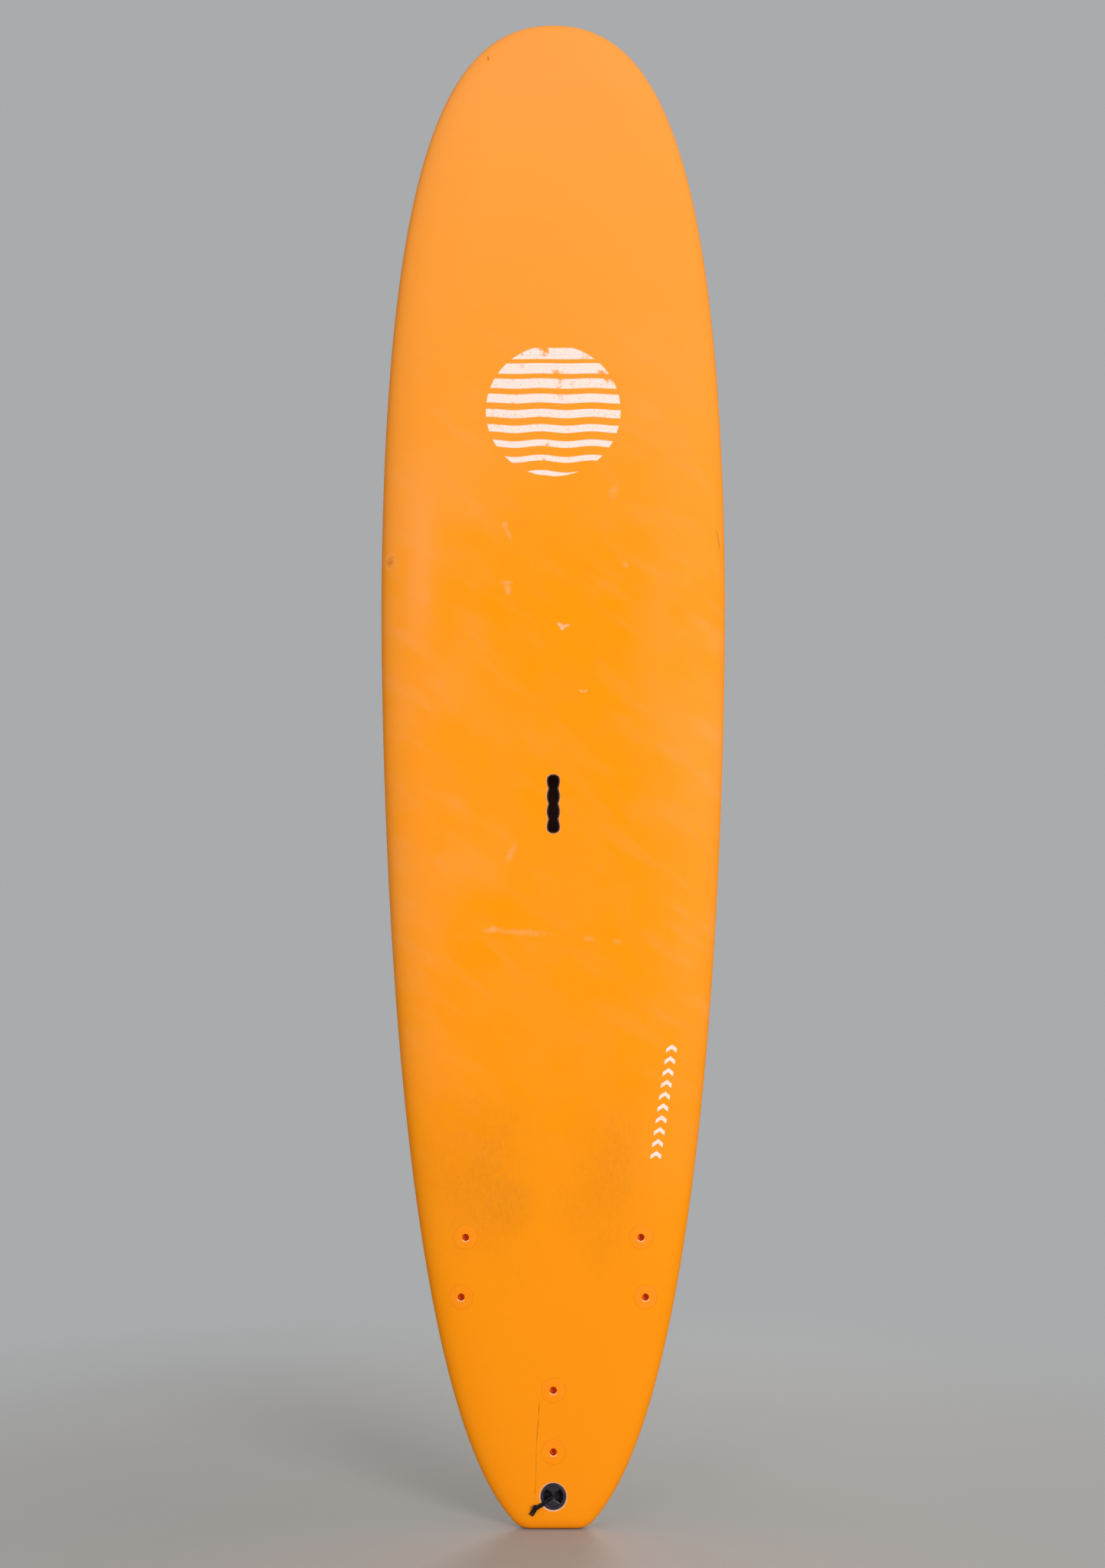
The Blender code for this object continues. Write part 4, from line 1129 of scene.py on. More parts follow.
def hole_cutter(name, place, surface, outline, fillet, depth, side=1):
    """A cutter whose mouth flares at the skin's face, so that the hole gets a rounded edge.

    outline(grow) gives the hole's points, grown outwards.
    """
    run = max(0.6 * fillet, MOUTH_RUN)
    grown = fillet * (1 - math.sin(MOUTH_ANGLE)) + run
    raised = run * math.tan(MOUTH_ANGLE) - fillet * (1 - math.cos(MOUTH_ANGLE))
    profile = [(grown, raised)]
    for a in np.linspace(MOUTH_ANGLE, math.pi / 2, 8):
        profile.append((fillet * (1 - math.sin(a)), -fillet * (1 - math.cos(a))))
    profile.append((0.0, -depth))
    rings = []
    for grow, height in profile:
        points = outline(grow)
        face = np.array([surface.height(place, x, y, side) for x, y in points])
        rings.append(level(points, face + side * height))
    return piece(name, skin(rings, (True, True)), [], place=place)


def axis_frame(origin, up, along):
    """A frame whose Z is up and whose Y lies as near along as it can."""
    z = Vector(up).normalized()
    x = Vector(along).cross(z).normalized()
    return Matrix.Translation(origin) @ Matrix((x, z.cross(x), z)).transposed().to_4x4()


def smooth_route(points, steps):
    """A smooth curve through the points."""
    points = np.asarray(points, float)
    ends = np.vstack([2 * points[0] - points[1], points, 2 * points[-1] - points[-2]])
    line = [points[:1]]
    for before, low, high, after in zip(ends, ends[1:], ends[2:], ends[3:]):
        line.append(bezier(low, low + (high - before) / 6, high - (after - low) / 6, high, steps + 1)[1:])
    return np.vstack(line)


def travelled(points):
    """How far along a route each of its points lies."""
    return np.concatenate([[0.0], np.cumsum(np.linalg.norm(np.diff(points, axis=0), axis=1))])


def even_route(points, spacing):
    """The same route with its points the same distance apart."""
    reach = travelled(points)
    wanted = np.linspace(0.0, reach[-1], max(2, round(reach[-1] / spacing)))
    return np.column_stack([np.interp(wanted, reach, points[:, i]) for i in range(3)])


def braided_tube(points, radius, sides, closed=False):
    """A tube along points with the relief of a braid; an open one has rounded ends."""
    along = np.gradient(points, axis=0)
    if closed:
        along = np.roll(points, -1, axis=0) - np.roll(points, 1, axis=0)
    along /= np.linalg.norm(along, axis=1)[:, None]
    out = np.cross(along[0], (0.0, 0.0, 1.0))
    turn = turns(sides)
    rings = []
    for point, heading, place in zip(points, along, travelled(points)):
        out = out - heading * (out @ heading)
        out /= np.linalg.norm(out)
        beside = np.cross(heading, out)
        lay = place / radius * BRAID_LAY
        weave = np.maximum(np.sin(BRAID_STRANDS * turn + lay), np.sin(BRAID_STRANDS * turn - lay))
        size = radius * (1 - BRAID_RELIEF + BRAID_RELIEF * weave)
        rings.append(point + (np.cos(turn) * size)[:, None] * out + (np.sin(turn) * size)[:, None] * beside)
    if closed:
        return skin(rings + rings[:1])

    def end(ring, point, outward):
        return [point + (ring - point) * kept + outward * radius * reach for kept, reach in CORD_END]

    first = end(rings[0], points[0], -along[0])
    last = end(rings[-1], points[-1], along[-1])
    return skin(first[::-1] + rings + last, (True, True))


def node_middle(name):
    """The mean of a CAD node's vertices."""
    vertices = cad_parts[name].data.vertices
    places = np.zeros(len(vertices) * 3)
    vertices.foreach_get("co", places)
    return Vector(places.reshape(-1, 3).mean(0))


def dress(node, material):
    """A CAD node keeps its shape and gets a better material."""
    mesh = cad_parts[node].data
    mesh.materials.clear()
    mesh.materials.append(material)


def settle(made, node, body="board"):
    """A piece stands for a CAD node, which it hides, and rides on its body."""
    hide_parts(node)
    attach(made, body)


class Board:
    """Places on the board that several operators share."""

    def __init__(self):
        self.hull = Hull()
        self.surface = Surface(self.hull)

    def handle(self):
        """In the middle of the finger slot: Y towards the nose, Z out of the deck."""
        ends = []
        for way in (-1, 1):
            start = Vector((0, -1, HANDLE_FROM_TAIL + way * CUP_LENGTH / 2))
            ends.append(self.surface.meets(start, Vector((0, 1, 0))))
        along = ends[1] - ends[0]
        return axis_frame((ends[0] + ends[1]) / 2, Vector((1, 0, 0)).cross(along), along)

    def bore(self, side, end):
        """On the bottom under one fin screw: Y along the fin, Z up through the deck."""
        seats = {}
        for place in ("front", "rear"):
            insert = node_middle(f"fin_insert_{side}_{place}")
            axis = (node_middle(f"fin_screw_{side}_{place}") - insert).normalized()
            seats[place] = insert - axis * (POST_HEIGHT - INSERT_LENGTH / 2)
        # A fin's two screws lie the same way, so the last one's axis serves both
        return axis_frame(seats[end], axis, seats["front"] - seats["rear"])

    def fin(self, side):
        """Between a fin's two screws."""
        front, rear = self.bore(side, "front"), self.bore(side, "rear")
        middle = front.copy()
        middle.translation = (front.translation + rear.translation) / 2
        return middle

    def leash(self):
        """In the middle of the leash plug's face: Y towards the nose, Z out of the deck."""
        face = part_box("leash_plug")[0].y
        return axis_frame(Vector((0, face, LEASH_FROM_TAIL)), Vector((0, -1, 0)), Vector((0, 0, 1)))


def finger_slot(grow, steps=21):
    """The scalloped slot as (x, y), grown outwards, with one bulge for each finger."""
    half_length = HANDLE_LENGTH / 2 + grow
    radius = HANDLE_END + grow
    turn = np.linspace(0.0, math.pi, FINGERS * steps + 1)
    y = -half_length * np.cos(turn)
    bulge = np.abs(np.sin(np.pi * (y / FINGER_PITCH - FINGERS / 2)))
    swell = (FINGER_WIDTH - NECK_WIDTH) * np.sqrt(bulge**2 + NECK_ROUNDING)
    half_width = (NECK_WIDTH + swell) / 2 + grow
    past = np.maximum(0.0, np.abs(y) - (half_length - radius))
    half_width -= radius - np.sqrt(np.maximum(0.0, radius**2 - past**2))
    side = np.column_stack([np.maximum(half_width, 0.0), y])
    return np.vstack([side, side[-2:0:-1] * (-1, 1)])


def rounded_box(width, length, count):
    """A box with rounded corners as (x, y), with its points set as those of the finger slot."""
    turn = turns(count) - math.pi / 2
    x = width / 2 * signed_power(np.cos(turn), CUP_SQUARENESS)
    y = length / 2 * signed_power(np.sin(turn), CUP_SQUARENESS)
    return np.column_stack([x, y])


def hexagon(width, sides):
    """A key socket's six sides as (x, y), with width across the flats."""
    turn = turns(sides)
    reach = width / 2 / np.cos((turn % (math.pi / 3)) - math.pi / 6)
    return np.column_stack([reach * np.cos(turn), reach * np.sin(turn)])


BOARD = Board()


# Operators


class SURFBOARD_OT_stage(Operator):
    """Camera at the photograph's place, pale floor, plain ground and soft light"""

    bl_idname = "surfboard.stage"
    bl_label = "Stage"

    def execute(self, context):
        stage = context.scene.surfboard_stage
        self.camera(context, stage)
        self.floor(stage)
        for name, (place, width) in LAMPS.items():
            self.light(context, name, getattr(stage, name), place, width)
        self.world(context, stage)
        context.scene.view_settings.view_transform = "Standard"
        return {"FINISHED"}

    def camera(self, context, stage):
        data = bpy.data.cameras.new("camera")
        data.lens = stage.lens
        data.sensor_width = SENSOR_WIDTH
        camera = bpy.data.objects.new("camera", data)
        camera.location = (stage.aside, -stage.stand_off, stage.height)
        camera.rotation_euler = (math.pi / 2 + stage.tilt, 0.0, 0.0)
        context.scene.collection.objects.link(camera)
        context.scene.camera = camera

    def floor(self, stage):
        """Solid round the board, and clear further out, where the backdrop shows instead."""
        finish = Finish("floor", {"Specular IOR Level": 0.2})
        x, y, _ = finish.axes()
        grain = finish.noise(220.0, 3.0)
        finish.set("Base Color", finish.mix(grain * 0.2, stage.floor, FLOOR_GRAIN))
        finish.set("Roughness", 0.7 + grain * 0.2)
        away = (x * x + y * y).root().ease(*FLOOR_FADE)
        solid = Term(finish, finish.shader.outputs["BSDF"])
        clear = finish.node("ShaderNodeBsdfTransparent")
        mixed = finish.node("ShaderNodeMixShader", None, {0: away, 1: solid, 2: clear})
        finish.feed(finish.tree.nodes["Material Output"].inputs["Surface"], mixed)
        rings = [level(circle(radius, FLOOR_SIDES), 0.0) for radius in FLOOR_RINGS]
        piece("floor", skin(rings, (True, False)), [finish.material])

    def light(self, context, name, energy, place, width):
        data = bpy.data.lights.new(name, "AREA")
        data.shape = "DISK"
        data.size = width
        data.energy = energy
        lamp = bpy.data.objects.new(name, data)
        lamp.location = place
        lamp.rotation_euler = (LAMP_TARGET - Vector(place)).to_track_quat("-Z", "Y").to_euler()
        context.scene.collection.objects.link(lamp)

    def world(self, context, stage):
        """The backdrop's colour for what is seen directly or mirrored, and plain light for the rest."""
        world = bpy.data.worlds.new("studio")
        world.use_nodes = True
        context.scene.world = world
        nodes = Nodes(world.node_tree)
        background = world.node_tree.nodes["Background"]
        nodes.feed(background.inputs["Color"], stage.backdrop)
        backdrop = Term(nodes, background.outputs["Background"])
        sockets = {"Color": AMBIENT_TINT, "Strength": stage.ambient}
        ambient = nodes.node("ShaderNodeBackground", None, sockets)
        ray = nodes.node("ShaderNodeLightPath", out="Is Camera Ray")
        seen = ray.most(ray.output("Is Glossy Ray")).most(ray.output("Is Transmission Ray"))
        mixed = nodes.node("ShaderNodeMixShader", None, {0: seen, 1: ambient, 2: backdrop})
        nodes.feed(world.node_tree.nodes["World Output"].inputs["Surface"], mixed)


class SURFBOARD_OT_string(Operator):
    """Braided string round the leash plug's bar, with its knot and two cut tails"""

    bl_idname = "surfboard.string"
    bl_label = "Leash string"

    def execute(self, context):
        material = cord_finish(context.scene.surfboard_hardware)
        place = BOARD.leash()
        into = [KNOT_PLACE.lerp(Vector(end), END_IN_KNOT) for end in (STRING_ROUTE[0], STRING_ROUTE[-1])]
        points = smooth_route([into[0], *STRING_ROUTE, into[1]], ROUTE_STEPS)
        route = even_route(np.array([place @ Vector(p) for p in points]), ROUTE_SPACING)
        string = piece("leash_string_braid", braided_tube(route, CORD_WIDTH / 2, CORD_SIDES), [material])
        settle(string, "leash_string", "leash_loop")
        knot = piece("leash_string_knot", self.knot(), [material], place=place)
        settle(knot, "leash_knot", "leash_loop")
        return {"FINISHED"}

    def knot(self):
        """A drawn-up overhand knot and its tails."""
        t = turns(KNOT_POINTS)
        x = np.sin(t) + 2 * np.sin(2 * t)
        y = np.cos(t) - 2 * np.cos(2 * t)
        wound = np.column_stack([x, y, -np.sin(3 * t)])
        radius = CORD_WIDTH / 2 * KNOT_STRAND
        wound *= (np.array(KNOT_SIZE) / 2 - radius) / np.abs(wound).max(0)
        heading = math.atan2(KNOT_PLACE.y, KNOT_PLACE.x)
        turn = np.array(Matrix.Rotation(heading, 3, "Z"))
        wound = wound @ turn.T + np.array(KNOT_PLACE)
        shells = [braided_tube(wound, radius, KNOT_SIDES, closed=True)]
        for side in (-1, 1):
            angle = TAIL_HEADING + side * TAIL_SPREAD
            away = np.array((math.cos(angle), math.sin(angle), 0.0))
            beside = np.array((-away[1], away[0], 0.0)) * side
            root = np.array(KNOT_PLACE) + beside * TAIL_ASIDE - (0, 0, TAIL_UNDER)
            s = np.linspace(0.0, 1.0, TAIL_STEPS)[:, None]
            tail = root + away * KNOT_TAIL * s + beside * TAIL_CURL * np.sin(s * TAIL_CURL_TURN)
            shells.append(braided_tube(tail, CORD_WIDTH / 2 * TAIL_STRAND, KNOT_SIDES))
        return joined(shells)


class SURFBOARD_OT_deck(Operator):
    """Foam skin over the deck and rails, with rounded holes for the handle and plugs"""

    bl_idname = "surfboard.deck"
    bl_label = "Deck"

    def execute(self, context):
        foam = context.scene.surfboard_foam
        hull = BOARD.hull
        outer = hull.deck_rings()
        tucked = hull.ring(SEAM_SHARE, hull.bottom, SEAM_TUCK, -SEAM_BULGE)
        # The pale cut edges of the slot and the leash hole are partly a painted highlight round their
        # mouths
        slot_edge = cut_edge_finish(foam, "slot_edge", 0.45)
        leash_edge = cut_edge_finish(foam, "leash_edge", 0.05)
        shell = skin(outer + [tucked] + hull.deck_lining()[::-1])
        deck = piece("deck_foam", shell, [deck_finish(foam), slot_edge, leash_edge])

        plug_hole, leash_hole = round_hole(PLUG_FLANGE, PLUG_SIDES), round_hole(LEASH_RIM, LEASH_HOLE_SIDES)
        holes = [("slot", BOARD.handle(), finger_slot, SLOT_FILLET, 1)]
        for side, end in FASTENINGS:
            holes.append((f"hole_{side}_{end}", BOARD.bore(side, end), plug_hole, PLUG_FILLET, 0))
        holes.append(("leash_hole", BOARD.leash(), leash_hole, LEASH_FILLET, 2))
        cutters = []
        for name, place, outline, fillet, slot in holes:
            cutter = hole_cutter(name, place, BOARD.surface, outline, fillet, DECK_CUT)
            for polygon in cutter.data.polygons:
                polygon.material_index = slot
            cutters.append(cutter)
        cut(deck, cutters)
        keep_curve(deck, skin(outer))
        settle(deck, "deck_skin")
        return {"FINISHED"}


class SURFBOARD_OT_slick(Operator):
    """Slick sheet on the bottom, with holes for the fin ferrules"""

    bl_idname = "surfboard.slick"
    bl_label = "Slick bottom"

    def execute(self, context):
        hull = BOARD.hull
        outer = [hull.ring(SEAM_SHARE, hull.bottom, 0.0, 2 * GAP)] + hull.bottom_rings(0.0)
        edge = hull.ring(SEAM_SHARE, hull.bottom, SLICK_EDGE, 1.6 * GAP)
        lining = [hull.ring(SEAM_SHARE, hull.bottom, SLICK_SKIN, 2 * GAP)] + hull.bottom_rings(SLICK_SKIN)
        material = slick_finish(context.scene.surfboard_foam)
        slick = piece("slick_sheet", skin(outer[::-1] + [edge] + lining), [material])
        hole = round_hole(FERRULE_FLANGE, FERRULE_SIDES)
        cutters = []
        for side, end in FASTENINGS:
            name, place = f"ferrule_{side}_{end}", BOARD.bore(side, end)
            cutters.append(hole_cutter(name, place, BOARD.surface, hole, FERRULE_FILLET, SLICK_CUT, -1))
        cut(slick, cutters)
        keep_curve(slick, skin(outer))
        settle(slick, "bottom_skin")
        return {"FINISHED"}


class SURFBOARD_OT_core(Operator):
    """Bead foam and plywood inside the skins"""

    bl_idname = "surfboard.core"
    bl_label = "Core and stringers"

    def execute(self, context):
        hardware = context.scene.surfboard_hardware
        beads, ply = bead_finish(hardware), ply_finish(hardware)
        for lane in ("left", "centre", "right"):
            dress(f"core_{lane}", beads)
        for side in ("left", "right"):
            dress(f"stringer_{side}", ply)
        return {"FINISHED"}


class SURFBOARD_OT_handle(Operator):
    """Carry handle: a cup behind a lip with a bulge for each finger"""

    bl_idname = "surfboard.handle"
    bl_label = "Handle"

    plate = -DECK_SKIN - 2 * GAP
    floor = plate - CUP_DEPTH
    lip = rounded_edge(0.0, LIP_ROUNDING, 5)
    count = len(finger_slot(0.0))
    middle = rounded_box(POINT_WIDTH, POINT_WIDTH, count)

    def execute(self, context):
        hardware = context.scene.surfboard_hardware
        plastic = moulded_finish("handle_plastic", hardware.handle, 0.55, 0.03)
        rubbed = rim_finish("handle_lip", hardware.handle_lip, hardware.handle)
        place = BOARD.handle()
        shell, slots = moulding(place, BOARD.surface, self.outside() + self.inside())
        cup = piece("handle_cup_moulding", shell, [plastic, rubbed], slots, place)
        settle(cup, "handle_cup")
        return {"FINISHED"}

    def box(self, inset, height):
        return Row(rounded_box(CUP_WIDTH - 2 * inset, CUP_LENGTH - 2 * inset, self.count), height)

    def outside(self):
        """From the top of the lip down outside the cup to the middle of its floor."""
        rows = [Row(finger_slot(-GAP + grow), -GAP + down, True, 1) for grow, down in self.lip]
        rows.append(Row(finger_slot(-GAP), self.plate + LIP_FOOT, True))
        rows += [self.box(CUP_SHOULDER, self.plate), self.box(0.0, self.plate - CUP_SHOULDER)]
        rows += [self.box(inset, self.plate - CUP_DEPTH * share) for inset, share in CUP_OUTSIDE]
        return rows + [Row(self.middle, self.floor)]

    def inside(self):
        """From the middle of the floor up inside the cup and the lip to its top."""
        floor, ceiling = self.floor + CUP_WALL, self.plate - CUP_WALL
        rows = [Row(self.middle, floor)]
        rows += [self.box(CUP_WALL + inset, floor + up) for inset, up in CUP_INSIDE]
        rows += [self.box(CUP_WALL, ceiling - CUP_CORNER), self.box(CUP_WALL + CUP_CORNER, ceiling)]
        rows.append(Row(finger_slot(-HANDLE_LIP + LIP_CORNER), ceiling))
        rows.append(Row(finger_slot(-HANDLE_LIP), ceiling + LIP_CORNER))
        rows.append(Row(finger_slot(-HANDLE_LIP), -GAP - LIP_DEPTH, True))
        top = self.lip[-2::-1]
        return rows + [Row(finger_slot(-HANDLE_LIP - grow), -GAP + down, True, 1) for grow, down in top]


class SURFBOARD_OT_fastenings(Operator):
    """Deck plugs, screws, ferrules and inserts of the three fins"""

    bl_idname = "surfboard.fastenings"
    bl_label = "Fin fastenings"

    def execute(self, context):
        hardware = context.scene.surfboard_hardware
        # The well's tailward lip is a painted highlight in the chalk colour
        worn = rim_finish("well_edge", context.scene.surfboard_foam.chalk_and_highlight, hardware.plug)
        plastics = [plug_finish(hardware), well_finish(), worn]
        steel = rusty_finish(hardware)
        brass = brass_finish(hardware)
        white = moulded_finish("ferrule_plastic", hardware.ferrule, 0.36, 0.2)
        for side, end in FASTENINGS:
            label = f"{side}_{end}"
            place = BOARD.bore(side, end)
            settle(self.plug(label, place, plastics), f"fin_plug_{label}")
            settle(self.screw(label, place, steel), f"fin_screw_{label}")
            settle(self.ferrule(label, place, white), f"fin_ferrule_{label}")
            dress(f"fin_insert_{label}", brass)
        return {"FINISHED"}

    def plug(self, label, place, plastics):
        """A flanged plug flush with the deck, with a well for the screw's head; slot 2 is a painted
        highlight on the well's tailward lip.
        """
        flange, well = PLUG_FLANGE / 2 + 0.8 * GAP, WELL_WIDTH / 2
        shank, sleeve = SCREW_SHANK / 2 + GAP, PLUG_SLEEVE / 2
        seat = POST_HEIGHT + 2 * GAP - BOARD.surface.height(place, 0.0, 0.0, 1)
        face = [(reach, down, 0) for reach, down in rounded_edge(flange, PLUG_FILLET, 5)[::-1]]
        face += [(reach, 0.0, 0) for reach in PLUG_FACE_RINGS]
        face.append((HIGHLIGHT_RADIUS, 0.0, 2))
        face += [(well - grow, down, 2) for grow, down in rounded_edge(0.0, WELL_ROUNDING, 6)]
        body = [(well, -WELL_NECK, 1), (well, -WELL_DEPTH + WELL_CORNER, 1)]
        body += [(well - WELL_CORNER, -WELL_DEPTH, 1), (shank, -WELL_DEPTH, 1)]
        body += [(shank, seat, 0), (sleeve, seat, 0)]
        body += [(sleeve, -PLUG_FLANGE_DEPTH - PLUG_SLEEVE_TAPER, 0), (flange, -PLUG_FLANGE_DEPTH, 0)]
        rows = [Row(circle(reach, PLUG_SIDES), height, True, slot) for reach, height, slot in face]
        rows += [Row(circle(reach, PLUG_SIDES), height, False, slot) for reach, height, slot in body]
        shell, slots = moulding(place, BOARD.surface, rows)
        # Only the tailward side, lit from above, keeps the painted highlight
        highlit_side = np.tile(circle(1.0, PLUG_SIDES)[:, 1] < HIGHLIGHT_FROM, len(rows))
        slots[(slots == 2) & ~highlit_side] = 0
        return piece(f"fin_plug_moulding_{label}", shell, plastics, slots, place)

    def screw(self, label, place, steel):
        """A cap head with a six-sided socket, and a shank with its thread."""
        seat = BOARD.surface.height(place, 0.0, 0.0, 1) - WELL_DEPTH + GAP
        crown = seat + SCREW_HEAD_HEIGHT
        point = POST_HEIGHT - SCREW_BITE
        floor = -KEY_SOCKET_DEPTH
        socket = ((0.05, floor), (0.96, floor), (1.0, floor + 0.0002), (1.0, -0.0003), (1.12, 0.0))
        head = rounded_edge(SCREW_HEAD / 2, SCREW_HEAD_ROUNDING, 6) + [(SCREW_HEAD / 2, seat - crown)]
        rings = [level(hexagon(KEY_SOCKET * share, SCREW_SIDES), crown + up) for share, up in socket]
        rings += [level(circle(reach, SCREW_SIDES), crown + down) for reach, down in head]
        turn = turns(SCREW_SIDES) / math.tau
        for height in np.arange(seat - THREAD_START, point + SCREW_POINT, -THREAD_PITCH / THREAD_STEPS):
            depth = THREAD_DEPTH * np.abs(((height / THREAD_PITCH + turn) % 1.0) - 0.5) * 2
            reach = (SCREW_SHANK / 2 - depth)[:, None]
            rings.append(level(circle(1.0, SCREW_SIDES) * reach, height))
        rings.append(level(circle(SCREW_SHANK / 2 - SCREW_POINT, SCREW_SIDES), point))
        return piece(f"fin_screw_turned_{label}", skin(rings, (True, True)), [steel], place=place)

    def ferrule(self, label, place, white):
        """A flanged bush in the bottom round one fin post."""
        inner, sleeve, flange = POST_WIDTH / 2 + GAP, FERRULE_SLEEVE / 2, FERRULE_FLANGE / 2
        top = POST_HEIGHT + GAP - BOARD.surface.height(place, 0.0, 0.0, -1)
        face = [(inner, FERRULE_MOUTH), (inner + FERRULE_MOUTH, 0.0)]
        face += [(reach, 0.0) for reach in FERRULE_FACE_RINGS]
        face += [(flange - FERRULE_EDGE, 0.0), (flange, FERRULE_EDGE)]
        body = [(flange, FERRULE_FLANGE_DEPTH), (sleeve, FERRULE_FLANGE_DEPTH + FERRULE_SLEEVE_TAPER)]
        body += [(sleeve, top), (inner, top)]
        rows = [Row(circle(reach, FERRULE_SIDES), height, True) for reach, height in face]
        rows += [Row(circle(reach, FERRULE_SIDES), height) for reach, height in body]
        shell, slots = moulding(place, BOARD.surface, rows, -1)
        return piece(f"fin_ferrule_moulding_{label}", shell, [white], slots, place)


class SURFBOARD_OT_fins(Operator):
    """Three moulded fins with a boxed foot and two posts each"""

    bl_idname = "surfboard.fins"
    bl_label = "Fins"

    def execute(self, context):
        nylon = moulded_finish("fin_nylon", context.scene.surfboard_hardware.fin, 0.40, 0.22, 1400.0)
        hanging = Matrix.Rotation(math.pi / 2, 4, "Z") @ Matrix.Rotation(math.pi, 4, "X")
        for side, cant in (("left", -FIN_CANT), ("centre", 0.0), ("right", FIN_CANT)):
            foot = BOARD.fin(side) @ Matrix.Translation((0, 0, -GAP)) @ hanging
            shells = [moved(foot, self.blade(cant))]
            shells += [moved(BOARD.bore(side, end), self.post()) for end in ("front", "rear")]
            settle(piece(f"{side}_fin_moulding", joined(shells), [nylon]), f"{side}_fin")
        return {"FINISHED"}

    def blade(self, cant):
        """Sections from the foot's face out to the rounded tip; X points to the nose."""
        rings = []
        for inset, depth in (*FOOT_CHAMFER, (0.0, FOOT_THICKNESS - FOOT_ROUNDING)):
            rings.append(self.section(depth, cant, 1.0, inset))
        for a in np.linspace(0.0, math.pi / 2, 5)[1:]:
            depth = FOOT_THICKNESS - FOOT_ROUNDING * (1 - math.sin(a))
            rings.append(self.section(depth, cant, 1.0, FOOT_ROUNDING * (1 - math.cos(a))))
        for a in np.linspace(0.0, math.pi / 2, 9):
            depth = FOOT_THICKNESS + ROOT_FILLET * (1 - math.cos(a))
            rings.append(self.section(depth, cant, ROOT_SPREAD * (1 - math.sin(a))))
        start = (FOOT_THICKNESS + ROOT_FILLET) / FIN_DEPTH
        tip = 1 - TIP_RUN * (1 - np.linspace(0, 1, 12)[1:]) ** 2
        for share in np.concatenate([np.linspace(start, TIP_START, 34)[1:], tip]):
            rings.append(self.section(FIN_DEPTH * share, cant, 0.0))
        return skin(rings, (True, True))

    def section(self, depth, cant, footing, inset=0.0):
        """One section: footing 1 is the boxed foot and 0 the foiled blade."""
        s = max(0.0, depth - FOOT_THICKNESS) / (FIN_DEPTH - FOOT_THICKNESS)
        chord = FIN_BASE * math.sqrt(max(0.0, 1 - (1 - TIP_CHORD_SHARE**2) * s**FIN_OUTLINE_POWER))
        thick = FIN_ROOT + (FIN_TIP - FIN_ROOT) * s
        if s > TIP_START:
            rounding = math.sqrt(max(0.0, 1 - ((s - TIP_START) / TIP_RUN) ** 2))
            thick *= max(rounding, TIP_THINNEST)
            chord *= TIP_CHORD_KEPT + (1 - TIP_CHORD_KEPT) * rounding
        along, aside = circle(1.0, FIN_SIDES).T
        # The blade is thickest a third of the way back, with a rounded front and a fine trailing edge
        foil = signed_power(aside, FOIL_POWER) * (1 + FOIL_FORWARD * along)
        foot = signed_power(aside, FOOT_SQUARENESS)
        half_chord = chord / 2 + footing * FOOT_OVERHANG - inset
        half_thick = thick / 2 * (1 - footing) + FOOT_WIDTH / 2 * footing - inset
        lengthwise = along * (1 - footing) + signed_power(along, FOOT_END_SQUARENESS) * footing
        x = half_chord * lengthwise - FIN_SWEEP * s**FIN_SWEEP_POWER
        y = half_thick * (foil * (1 - footing) + foot * footing) + depth * math.tan(cant)
        return level(np.column_stack([x, y]), depth)

    def post(self):
        """A post with a socket for its brass insert."""
        outer, inner = POST_WIDTH / 2, INSERT_WIDTH / 2 + GAP
        root, low = -FOOT_THICKNESS / 2, POST_HEIGHT - INSERT_LENGTH - GAP
        rows = [(0.0, root), (outer, root), (outer, POST_HEIGHT - POST_CHAMFER)]
        rows += [(outer - POST_CHAMFER, POST_HEIGHT), (inner, POST_HEIGHT), (inner, low), (0.0, low)]
        return lathe(rows, POST_SIDES)


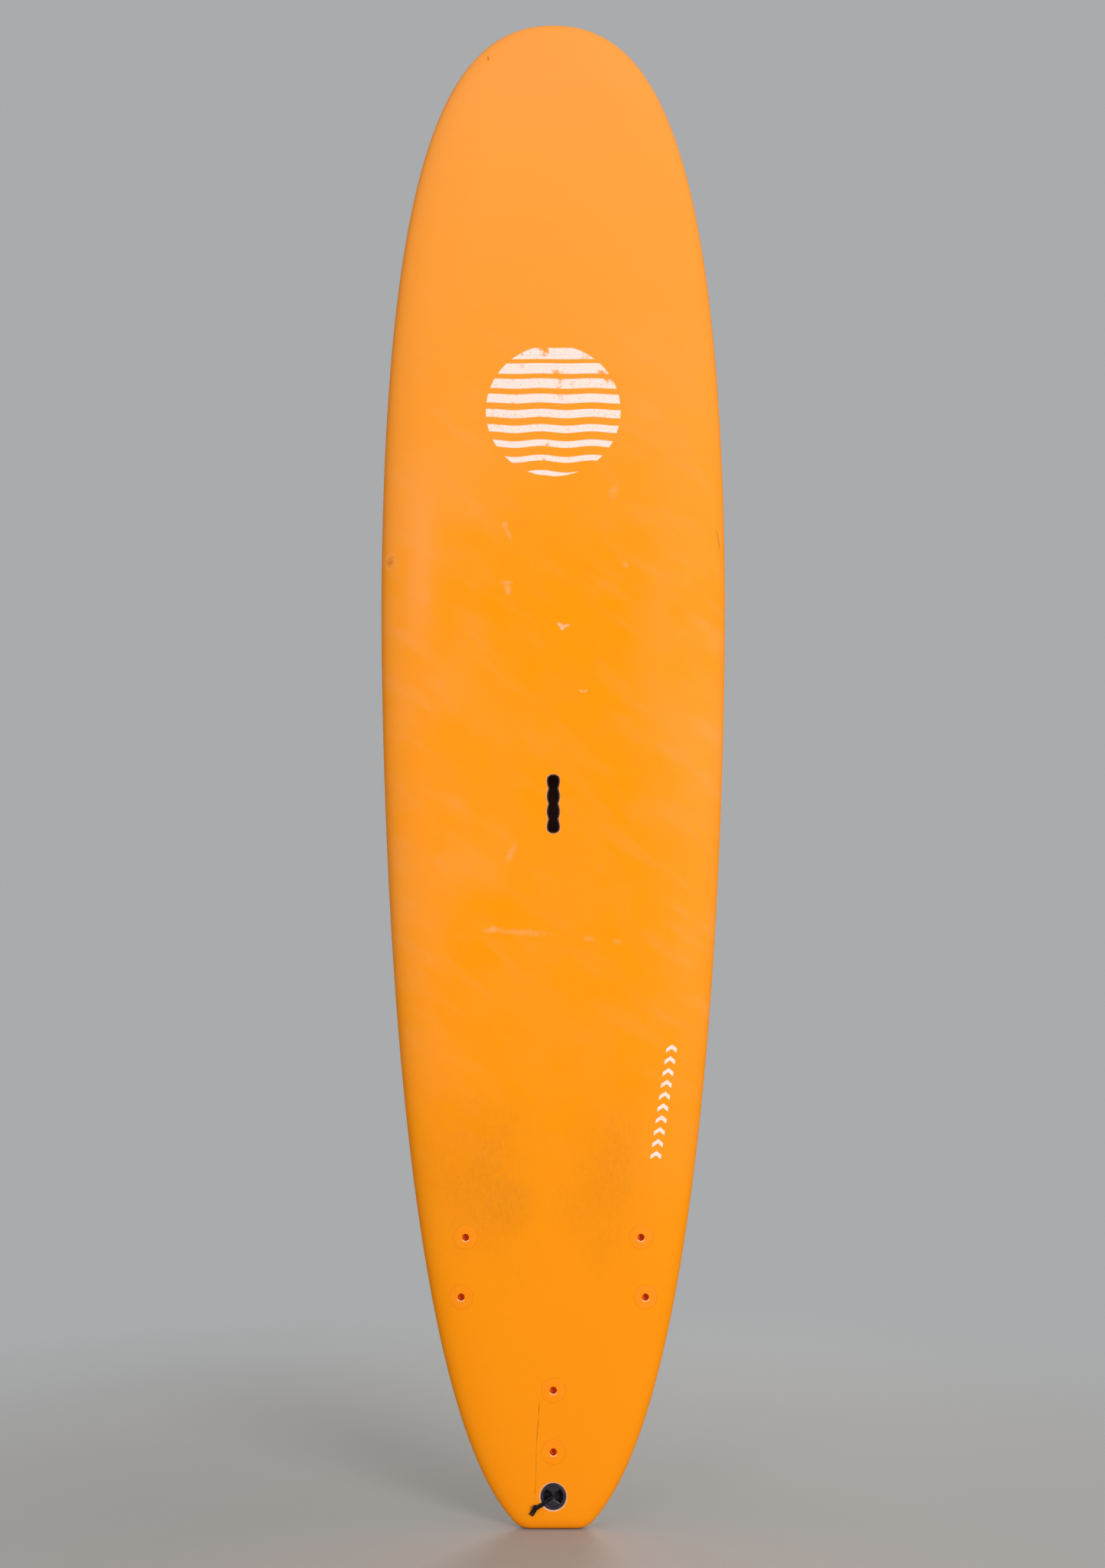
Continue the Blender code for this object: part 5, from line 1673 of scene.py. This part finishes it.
class SURFBOARD_OT_leash_plug(Operator):
    """Round leash plug with its bow-tie bar"""

    bl_idname = "surfboard.leash_plug"
    bl_label = "Leash plug"

    def execute(self, context):
        plastic = moulded_finish("leash_plastic", context.scene.surfboard_hardware.leash, 0.40, 0.06)
        place = BOARD.leash()
        plug = piece("leash_plug_moulding", lathe(self.profile(), LEASH_SIDES), [plastic], place=place)
        settle(plug, "leash_plug")
        bar = piece("leash_bar_moulding", self.bar(), [plastic], place=place)
        settle(bar, "leash_bar")
        dress("leash_plug_nut", plastic)
        return {"FINISHED"}

    def profile(self):
        """From the middle of the pocket's floor over the rim and down to the end of the spigot."""
        pocket, rim, body = LEASH_POCKET / 2, LEASH_RIM / 2, LEASH_BODY / 2
        floor, spigot = LEASH_POCKET_FLOOR / 2, LEASH_SPIGOT / 2
        end = -LEASH_BODY_DEPTH - LEASH_SPIGOT_LENGTH
        rows = [(0.0, -LEASH_POCKET_DEPTH)]
        rows += [(floor + out, up - LEASH_POCKET_DEPTH) for out, up in LEASH_FLOOR_CORNER]
        rows += [(pocket + out, up - LEASH_POCKET_DEPTH / 2) for out, up in LEASH_WALL_CORNER]
        rows += [(pocket - grow, down) for grow, down in rounded_edge(0.0, LEASH_POCKET_ROUNDING, 9)[::-1]]
        rows += rounded_edge(rim, LEASH_RIM_ROUNDING, 7)
        rows += [(rim, -LEASH_RIM_DEPTH), (body, -LEASH_RIM_DEPTH), (body, -LEASH_BODY_DEPTH)]
        return rows + [(spigot, -LEASH_BODY_DEPTH), (spigot, end), (0.0, end)]

    def bar(self):
        """A round waist for the string, and flat ends that widen into the plug's wall."""
        turn = turns(BAR_SIDES)
        far = LEASH_POCKET / 2 + BAR_BITE
        wall = LEASH_BODY / 2 - BAR_INSIDE_WALL
        rings = []
        for y in np.linspace(-far, far, BAR_RINGS):
            past = max(0.0, abs(y) - BAR_WAIST_LENGTH / 2)
            spread = math.hypot(past, BAR_BEND) - BAR_BEND
            width = min(BAR_WAIST / 2 + spread * math.tan(BAR_FLARE), math.sqrt(wall**2 - y**2))
            squareness = 1.0 - BAR_FLATNESS * min(1.0, past / BAR_FLAT_RUN)
            x = width * signed_power(np.cos(turn), squareness)
            z = BAR_WAIST / 2 * signed_power(np.sin(turn), squareness) - BAR_DEPTH
            rings.append(np.column_stack([x, np.full(BAR_SIDES, y), z]))
        return skin(rings, (True, True))


class SURFBOARD_PT_pieces(Panel):
    """The board's pieces and their settings"""

    bl_label = "Foam surfboard"
    bl_idname = "SURFBOARD_PT_pieces"
    bl_space_type = "VIEW_3D"
    bl_region_type = "UI"
    bl_category = "Surfboard"

    def draw(self, context):
        for operator in OPERATORS:
            self.layout.operator(operator.bl_idname)
        for settings in GROUPS:
            group = getattr(context.scene, settings)
            box = self.layout.box()
            for name in group.__annotations__:
                box.prop(group, name)


OPERATORS = (
    SURFBOARD_OT_stage,
    SURFBOARD_OT_string,
    SURFBOARD_OT_deck,
    SURFBOARD_OT_slick,
    SURFBOARD_OT_core,
    SURFBOARD_OT_handle,
    SURFBOARD_OT_fastenings,
    SURFBOARD_OT_fins,
    SURFBOARD_OT_leash_plug,
)
GROUPS = {
    "surfboard_foam": FoamSettings,
    "surfboard_hardware": HardwareSettings,
    "surfboard_stage": StageSettings,
}


def register():
    for kind in (*GROUPS.values(), *OPERATORS, SURFBOARD_PT_pieces):
        bpy.utils.register_class(kind)
    for name, group in GROUPS.items():
        setattr(bpy.types.Scene, name, PointerProperty(type=group))


def unregister():
    for name in GROUPS:
        delattr(bpy.types.Scene, name)
    for kind in (SURFBOARD_PT_pieces, *OPERATORS[::-1], *GROUPS.values()):
        bpy.utils.unregister_class(kind)


def main():
    register()
    bpy.ops.surfboard.stage()
    bpy.ops.surfboard.string()
    bpy.ops.surfboard.deck()
    bpy.ops.surfboard.slick()
    bpy.ops.surfboard.core()
    bpy.ops.surfboard.handle()
    bpy.ops.surfboard.fastenings()
    bpy.ops.surfboard.fins()
    bpy.ops.surfboard.leash_plug()


if __name__ == "__main__":
    main()
